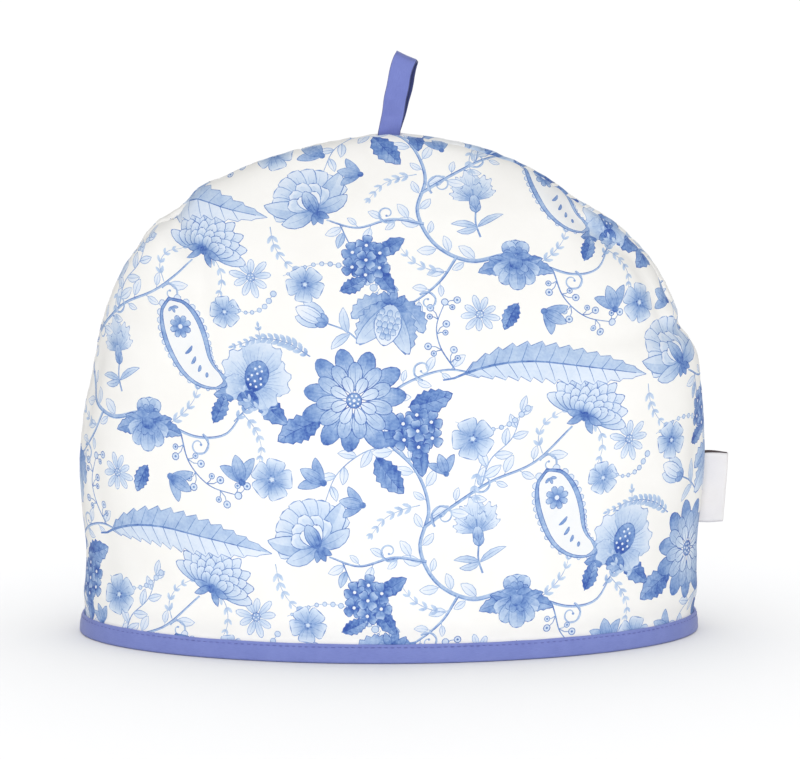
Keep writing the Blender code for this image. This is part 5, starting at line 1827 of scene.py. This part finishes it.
# ==========================================================================
# Tag: a short plain ribbon folded once
# ==========================================================================
def build_tag(name):
    c, h, out = TAG_CLOTH, TAG_SLOT / 2, TAG_OUT
    mid = []                                          # middle line of the ribbon, in (reach, side)
    for r in np.linspace(-TAG_ROOT * 0.9, out - 1.6 * c, 12):
        swell = 0.30 * MM * math.sin(math.pi * np.clip(r / out, 0, 1)) ** 1.3
        mid.append((r, -(h + c / 2) - 0.0 * swell))
    for a in np.linspace(-90, 90, 9)[1:-1]:
        mid.append((out - 1.6 * c + (1.6 * c - 0.5 * c) * math.cos(math.radians(a)), (h + c / 2) * math.sin(math.radians(a))))
    for r in np.linspace(out - 1.6 * c, -TAG_ROOT * 0.9, 12):
        mid.append((r, h + c / 2))
    mid = np.array(mid)
    d = np.gradient(mid, axis=0)
    d /= np.linalg.norm(d, axis=1, keepdims=True)
    o = np.stack([d[:, 1], -d[:, 0]], -1)
    thick = 0.27 * MM                                 # half of the ribbon's thickness
    levels = np.linspace(TAG_LOW, TAG_HIGH, 26)
    m = len(mid)
    verts, faces = [], []
    for side in (1, -1):
        for z in levels:
            v = np.array([v_at_height(z)])
            x0, y0, _ = place(half_u(v), v, 1, np.array([GROOVE_DEPTH]))
            f = (z - TAG_LOW) / (TAG_HIGH - TAG_LOW)
            for i in range(m):
                r, s = mid[i] + o[i] * thick * side
                share = float(smooth(r / out))
                bend = 0.6 * MM * share * math.sin(3.0 * f)
                # the two layers part a little at the top, and the fold leans
                apart = 0.22 * MM * (1 if s > 0 else -1) * float(smooth((f - 0.72) / 0.28)) * math.sin(math.pi * np.clip(r / out, 0, 1))
                lean = 0.6 * MM * share * (1.0 - f)
                # the back layer stands a little higher by the seam, so its dark inside shows
                step = 1.15 * MM * (1 if s > 0 else 0) * (0.35 + 0.65 * (1.0 - share)) * f ** 6
                zz = z + step + 0.35 * MM * share * (0.5 - f) + 0.25 * MM * math.sin(r * 300.0) * (1 if f > 0.5 else -1) * abs(2 * f - 1) ** 8
                verts.append((float(x0[0]) + GROOVE_DEPTH + r + lean, float(y0[0]) + s - bend + apart, zz))
    L = len(levels)
    for side in (0, 1):
        base = side * L * m
        for j in range(L - 1):
            for i in range(m - 1):
                a = base + j * m + i
                f = (a, a + 1, a + m + 1, a + m)
                faces.append(f if side == 0 else f[::-1])
    def rim(ids):
        for p, q in zip(ids[:-1], ids[1:]):
            faces.append((p, p + L * m, q + L * m, q))
    rim([i for i in range(m)][::-1])
    rim([(L - 1) * m + i for i in range(m)])
    rim([j * m for j in range(L)])
    rim([j * m + m - 1 for j in range(L)][::-1])
    ob = mesh_piece(name, verts, faces)
    run = np.concatenate([[0], np.cumsum(np.linalg.norm(np.diff(mid, axis=0), axis=1))]) * 1000
    tall = (TAG_HIGH - TAG_LOW) * 1000
    flat, pack = [], []
    for f in ob.data.polygons:
        for vi in f.vertices:
            s, k = divmod(vi, L * m)
            j, i = divmod(k, m)
            flat.append((run[i], j / (L - 1) * tall))
            pack.append((0.02 + 0.47 * run[i] / run[-1] + 0.49 * s, 0.02 + 0.96 * j / (L - 1)))
    set_uv(ob, "cloth_mm", flat)
    set_uv(ob, "OFBake", pack)
    ob.data.uv_layers.active = ob.data.uv_layers["OFBake"]
    bm = bmesh.new()
    bm.from_mesh(ob.data)
    bmesh.ops.recalc_face_normals(bm, faces=bm.faces)
    bm.to_mesh(ob.data)
    bm.free()
    return ob, run[-1] / 1000.0



# ==========================================================================
# Materials
# ==========================================================================
class Nodes:
    """A little helper for writing a node tree line by line."""

    def __init__(self, name):
        self.mat = bpy.data.materials.new(name)
        self.mat.use_nodes = True
        self.t = self.mat.node_tree
        self.bsdf = self.t.nodes["Principled BSDF"]

    def link(self, a, b):
        self.t.links.new(a, b)

    def put(self, socket, value):
        if isinstance(value, (int, float)):
            socket.default_value = value
        elif isinstance(value, tuple):
            socket.default_value = value
        else:
            self.link(value, socket)

    def math(self, op, a, b=0.0, c=None, clamp=False):
        n = self.t.nodes.new("ShaderNodeMath")
        n.operation = op
        n.use_clamp = clamp
        self.put(n.inputs[0], a)
        self.put(n.inputs[1], b)
        if c is not None:
            self.put(n.inputs[2], c)
        return n.outputs[0]

    def uv(self, name="cloth_mm"):
        n = self.t.nodes.new("ShaderNodeUVMap")
        n.uv_map = name
        return n.outputs[0]

    def turned(self, vec, angle=0.0, scale=(1.0, 1.0, 1.0)):
        n = self.t.nodes.new("ShaderNodeMapping")
        self.link(vec, n.inputs["Vector"])
        n.inputs["Rotation"].default_value = (0, 0, math.radians(angle))
        n.inputs["Scale"].default_value = scale
        return n.outputs[0]

    def xy(self, vec):
        n = self.t.nodes.new("ShaderNodeSeparateXYZ")
        self.link(vec, n.inputs[0])
        return n.outputs[0], n.outputs[1]

    def noise(self, vec, scale, detail=2.0, rough=0.5):
        n = self.t.nodes.new("ShaderNodeTexNoise")
        self.link(vec, n.inputs["Vector"])
        n.inputs["Scale"].default_value = scale
        n.inputs["Detail"].default_value = detail
        n.inputs["Roughness"].default_value = rough
        return n.outputs["Fac"]

    def ramp(self, fac, stops):
        n = self.t.nodes.new("ShaderNodeValToRGB")
        self.link(fac, n.inputs[0])
        cr = n.color_ramp
        while len(cr.elements) < len(stops):
            cr.elements.new(0.5)
        for e, (p, c) in zip(cr.elements, stops):
            e.position = p
            e.color = (*c, 1.0)
        return n.outputs[0]

    def mix(self, fac, a, b):
        n = self.t.nodes.new("ShaderNodeMix")
        n.data_type = "RGBA"
        self.put(n.inputs["Factor"], fac)
        ia, ib = [s for s in n.inputs if s.name in ("A", "B") and s.type == "RGBA"]
        self.put(ia, a)
        self.put(ib, b)
        return [s for s in n.outputs if s.type == "RGBA"][0]

    def bump(self, height, strength, distance, before=None):
        n = self.t.nodes.new("ShaderNodeBump")
        n.inputs["Strength"].default_value = strength
        n.inputs["Distance"].default_value = distance
        self.link(height, n.inputs["Height"])
        if before is not None:
            self.link(before, n.inputs["Normal"])
        return n.outputs[0]

    def plain_weave(self, vec, pitch):
        """Height of a plain weave: threads over and under, 0 to 1."""
        x, y = self.xy(vec)
        k = math.pi / pitch
        sx = self.math("SINE", self.math("MULTIPLY", x, k))
        sy = self.math("SINE", self.math("MULTIPLY", y, k))
        warp = self.math("MULTIPLY", sx, sx)
        weft = self.math("MULTIPLY", sy, sy)
        over = self.math("MULTIPLY_ADD", self.math("MULTIPLY", self.math(
            "COSINE", self.math("MULTIPLY", x, k)), self.math("COSINE", self.math("MULTIPLY", y, k))), 0.5, 0.5)
        a = self.math("MULTIPLY", warp, over)
        b = self.math("MULTIPLY", weft, self.math("SUBTRACT", 1.0, over))
        return self.math("MAXIMUM", a, b)


def srgb(r, g, b):
    def f(c):
        c = c / 255.0
        return c / 12.92 if c <= 0.04045 else ((c + 0.055) / 1.055) ** 2.4
    return (f(r), f(g), f(b))


INK_RAMP = [
    (0.00, srgb(251, 250, 247)),
    (0.10, srgb(228, 237, 250)),
    (0.22, srgb(206, 222, 243)),
    (0.36, srgb(181, 203, 233)),
    (0.52, srgb(149, 177, 220)),
    (0.68, srgb(115, 149, 205)),
    (0.84, srgb(85, 120, 188)),
    (1.00, srgb(58, 90, 172)),
]


def printed_cotton():
    k = Nodes("printed_cotton")
    vec = k.uv()
    at = k.t.nodes.new("ShaderNodeAttribute")
    at.attribute_name = "ink"
    sep = k.t.nodes.new("ShaderNodeSeparateColor")
    k.link(at.outputs["Color"], sep.inputs[0])
    tone, seed = sep.outputs[0], sep.outputs[1]
    # washes pool unevenly, and the threads take the ink unevenly
    pool = k.noise(vec, 0.19, 3.0, 0.55)
    wash = k.noise(vec, 0.75, 2.0, 0.5)
    grain = k.noise(k.turned(vec, 0, (3.2, 1.1, 1.0)), 1.0, 1.0, 0.5)
    gain = k.math("MULTIPLY_ADD", pool, 0.95, 0.48)
    gain = k.math("MULTIPLY", gain, k.math("MULTIPLY_ADD", wash, 0.66, 0.66))
    gain = k.math("MULTIPLY", gain, k.math("MULTIPLY_ADD", grain, 0.16, 0.92))
    gain = k.math("MULTIPLY", gain, k.math("MULTIPLY_ADD", seed, 0.12, 0.97))
    t = k.math("MULTIPLY", tone, gain, clamp=True)
    colour = k.ramp(t, INK_RAMP)
    # the white ground is a little uneven too
    ground = k.noise(vec, 0.035, 3.0, 0.5)
    tint = k.ramp(ground, [(0.30, (0.965, 0.962, 0.955)), (0.70, (1.0, 1.0, 1.0))])
    mul = k.t.nodes.new("ShaderNodeMix")
    mul.data_type = "RGBA"
    mul.blend_type = "MULTIPLY"
    mul.inputs["Factor"].default_value = 1.0
    ia, ib = [s for s in mul.inputs if s.name in ("A", "B") and s.type == "RGBA"]
    k.link(colour, ia)
    k.link(tint, ib)
    k.link([s for s in mul.outputs if s.type == "RGBA"][0], k.bsdf.inputs["Base Color"])
    k.bsdf.inputs["Roughness"].default_value = 0.86
    k.bsdf.inputs["Specular IOR Level"].default_value = 0.25
    k.bsdf.inputs["Sheen Weight"].default_value = 0.12
    k.bsdf.inputs["Sheen Roughness"].default_value = 0.45
    weave = k.plain_weave(vec, 0.42)
    slub = k.noise(k.turned(vec, 0, (0.25, 2.6, 1.0)), 1.0, 2.0, 0.6)
    slub2 = k.noise(k.turned(vec, 0, (2.6, 0.22, 1.0)), 1.0, 2.0, 0.6)
    h = k.math("ADD", weave, k.math("MULTIPLY", k.math("ADD", slub, slub2), 0.9))
    n1 = k.bump(h, 0.30, 0.00005)
    rumple = k.noise(vec, 0.11, 3.0, 0.55)
    n2 = k.bump(rumple, 0.30, 0.0006, n1)
    k.link(n2, k.bsdf.inputs["Normal"])
    return k.mat


def plain_cotton(name, colour, darker, lighter, pitch, angle, roughness=0.84, sheen=0.25):
    """Plain dyed cotton tape, or a darker copy of it as painted shade; the weave is turned by angle (45 for a bias
    strip).
    """
    k = Nodes(name)
    vec = k.uv()
    tv = k.turned(vec, angle)
    weave = k.plain_weave(tv, pitch)
    threads = k.noise(k.turned(vec, angle, (0.35, 4.5, 1.0)), 1.0, 2.0, 0.6)
    threads2 = k.noise(k.turned(vec, angle + 90, (0.35, 4.5, 1.0)), 1.0, 2.0, 0.6)
    cloud = k.noise(vec, 0.09, 3.0, 0.55)
    f = k.math("MULTIPLY_ADD", weave, 0.42, 0.06)
    f = k.math("ADD", f, k.math("MULTIPLY_ADD", k.math("ADD", threads, threads2), 0.42, -0.20))
    f = k.math("ADD", f, k.math("MULTIPLY_ADD", cloud, 0.40, -0.20), clamp=True)
    c = k.ramp(f, [(0.05, darker), (0.50, colour), (0.95, lighter)])
    k.link(c, k.bsdf.inputs["Base Color"])
    k.bsdf.inputs["Roughness"].default_value = roughness
    k.bsdf.inputs["Specular IOR Level"].default_value = 0.22
    k.bsdf.inputs["Sheen Weight"].default_value = sheen
    k.bsdf.inputs["Sheen Roughness"].default_value = 0.5
    h = k.math("ADD", weave, k.math("MULTIPLY", k.math("ADD", threads, threads2), 0.7))
    n1 = k.bump(h, 0.5, 0.00007)
    wave = k.noise(k.turned(vec, 0, (0.16, 0.05, 1.0)), 1.0, 2.0, 0.5)
    n2 = k.bump(wave, 0.35, 0.0008, n1)
    k.link(n2, k.bsdf.inputs["Normal"])
    return k.mat


def thread_material(name, colour, darker):
    k = Nodes(name)
    tc = k.t.nodes.new("ShaderNodeTexCoord")
    f = k.noise(tc.outputs["Object"], 900.0, 2.0, 0.5)
    c = k.ramp(f, [(0.3, darker), (0.7, colour)])
    k.link(c, k.bsdf.inputs["Base Color"])
    k.bsdf.inputs["Roughness"].default_value = 0.7
    k.bsdf.inputs["Sheen Weight"].default_value = 0.2
    n = k.bump(k.noise(tc.outputs["Object"], 3500.0, 1.0, 0.5), 0.4, 0.00006)
    k.link(n, k.bsdf.inputs["Normal"])
    return k.mat


def ribbon_material(name, colour, darker, roughness):
    k = Nodes(name)
    vec = k.uv()
    x, y = k.xy(vec)
    rib = k.math("MULTIPLY_ADD", k.math("SINE", k.math("MULTIPLY", y, math.tau / 0.40)), 0.5, 0.5)
    fine = k.noise(k.turned(vec, 0, (0.5, 6.0, 1.0)), 1.0, 2.0, 0.6)
    cloud = k.noise(vec, 0.12, 2.0, 0.5)
    f = k.math("ADD", k.math("MULTIPLY", rib, 0.25), k.math("MULTIPLY", k.math("ADD", fine, cloud), 0.4), clamp=True)
    c = k.ramp(f, [(0.15, darker), (0.8, colour)])
    k.link(c, k.bsdf.inputs["Base Color"])
    k.bsdf.inputs["Roughness"].default_value = roughness
    k.bsdf.inputs["Specular IOR Level"].default_value = 0.4
    k.bsdf.inputs["Sheen Weight"].default_value = 0.15
    n = k.bump(k.math("ADD", rib, k.math("MULTIPLY", fine, 0.6)), 0.35, 0.00005)
    k.link(n, k.bsdf.inputs["Normal"])
    return k.mat


# ==========================================================================
# The pieces
# ==========================================================================
PRINT = printed_cotton()
BIAS = plain_cotton("binding_cotton", srgb(128, 140, 204), srgb(107, 118, 185), srgb(144, 155, 216), 0.42, 45)
TAPE = plain_cotton("loop_cotton", srgb(122, 133, 200), srgb(98, 109, 178), srgb(139, 151, 212), 0.42, 0)
# a darker copy of the tape's cotton: painted shade for the inside of the fold and the tape's edges
TAPE_PAINTED_SHADE = plain_cotton("loop_cotton_painted_shade", srgb(70, 78, 132), srgb(56, 63, 110), srgb(82, 90, 146), 0.42, 0)
THREAD = thread_material("blue_thread", srgb(108, 118, 190), srgb(84, 93, 165))
RIBBON = ribbon_material("tag_ribbon", srgb(236, 234, 234), srgb(222, 219, 220), 0.5)
REVERSE = ribbon_material("tag_reverse", srgb(92, 80, 82), srgb(66, 56, 58), 0.7)

front = build_panel("front_padded_panel", -1, FRONT_SHIFT[0], FRONT_SHIFT[1])
back = build_panel("back_padded_panel", 1, BACK_SHIFT[0], BACK_SHIFT[1])
binding, hem_run = build_binding("hem_bias_binding")
hem_stitches = build_hem_stitches("hem_binding_stitches")
loop, loop_run, loop_line, loop_out = build_loop("hanging_tape_loop")
tag, tag_run = build_tag("folded_side_tag")

for ob, mat in ((front, PRINT), (back, PRINT), (binding, BIAS), (hem_stitches, THREAD), (loop, TAPE),
                (tag, RIBBON)):
    ob.data.materials.append(mat)
tag.data.materials.append(REVERSE)
loop.data.materials.append(TAPE_PAINTED_SHADE)
for poly in loop.data.polygons:
    # painted shade: a darker cotton on the inner side of the fold and on the turned edges of the tape
    if all(i % LOOP_ROUND in LOOP_SHADED for i in poly.vertices):
        poly.material_index = 1
me = tag.data
half_count = len(me.vertices) // 2
for poly in me.polygons:
    # the first half of the points is the ribbon's outer face, the second its inner face
    if all(i >= half_count for i in poly.vertices):
        poly.material_index = 1

for ob, node, slot in ((front, "front_panel", "printed_cotton"), (back, "back_panel", "printed_cotton"),
                       (binding, "hem_binding", "binding_cotton"), (loop, "hanging_loop", "loop_cotton"),
                       (tag, "side_tag", "tag_ribbon")):
    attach(ob, "root")
    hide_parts(node)
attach(hem_stitches, "root")

# ==========================================================================
# Stage: floor, lights, camera
# ==========================================================================
scene = bpy.context.scene
scene.view_settings.view_transform = "Standard"
scene.view_settings.look = "None"
scene.view_settings.exposure = 0.0
scene.view_settings.gamma = 1.0

floor_me = bpy.data.meshes.new("floor")
floor_me.from_pydata([(-8, -8, 0), (8, -8, 0), (8, 8, 0), (-8, 8, 0)], [], [(0, 1, 2, 3)])
floor = bpy.data.objects.new("floor", floor_me)
scene.collection.objects.link(floor)
floor_k = Nodes("floor_paper")
floor_tc = floor_k.t.nodes.new("ShaderNodeTexCoord")
floor_c = floor_k.ramp(floor_k.noise(floor_tc.outputs["Object"], 3.0, 2.0), [(0.3, (0.597, 0.597, 0.599)), (0.7, (0.604, 0.604, 0.606))])
floor_k.link(floor_c, floor_k.bsdf.inputs["Base Color"])
floor_k.bsdf.inputs["Roughness"].default_value = 0.9
floor_k.bsdf.inputs["Specular IOR Level"].default_value = 0.1
floor_me.materials.append(floor_k.mat)

world = bpy.data.worlds.new("studio")
world.use_nodes = True
scene.world = world
bg = world.node_tree.nodes["Background"]
bg.inputs["Color"].default_value = (1.0, 1.0, 1.0, 1.0)
bg.inputs["Strength"].default_value = WORLD_LIGHT


receivers = {"paper": (floor,), "cosy": (front, back, binding, hem_stitches, loop, tag)}
for group, obs in receivers.items():
    receivers[group] = bpy.data.collections.new(group)
    for ob in obs:
        receivers[group].objects.link(ob)


def softbox(name, stands, wide, strength, group):
    """A far, wide light, even over the whole stage, that lights the paper or the cosy."""
    light = bpy.data.lights.new(name, "SUN")
    light.angle = math.radians(wide)
    light.energy = strength
    ob = bpy.data.objects.new(name, light)
    ob.location = stands
    ob.rotation_mode = "QUATERNION"
    ob.rotation_quaternion = (-Vector(stands)).to_track_quat("-Z", "Y")
    scene.collection.objects.link(ob)
    ob.light_linking.receiver_collection = receivers[group]
    return ob


for row in SUNS:
    softbox(*row)

AZ, EL, FAR = math.radians(-1.5), math.radians(12.0), 2.0
right = Vector((math.cos(AZ), math.sin(AZ), 0.0))
forward = Vector((-math.sin(AZ) * math.cos(EL), math.cos(AZ) * math.cos(EL), -math.sin(EL)))
up = right.cross(forward)
cam_data = bpy.data.cameras.new("camera")
cam = bpy.data.objects.new("camera", cam_data)
scene.collection.objects.link(cam)
cam.location = -forward * FAR
aim = up * CAM_UP + right * CAM_RIGHT
cam.rotation_mode = "QUATERNION"
cam.rotation_quaternion = (aim - cam.location).to_track_quat("-Z", "Y")
cam_data.sensor_width = 36.0
cam_data.lens = CAM_LENS
cam_data.clip_start, cam_data.clip_end = 0.05, 50.0
scene.camera = cam
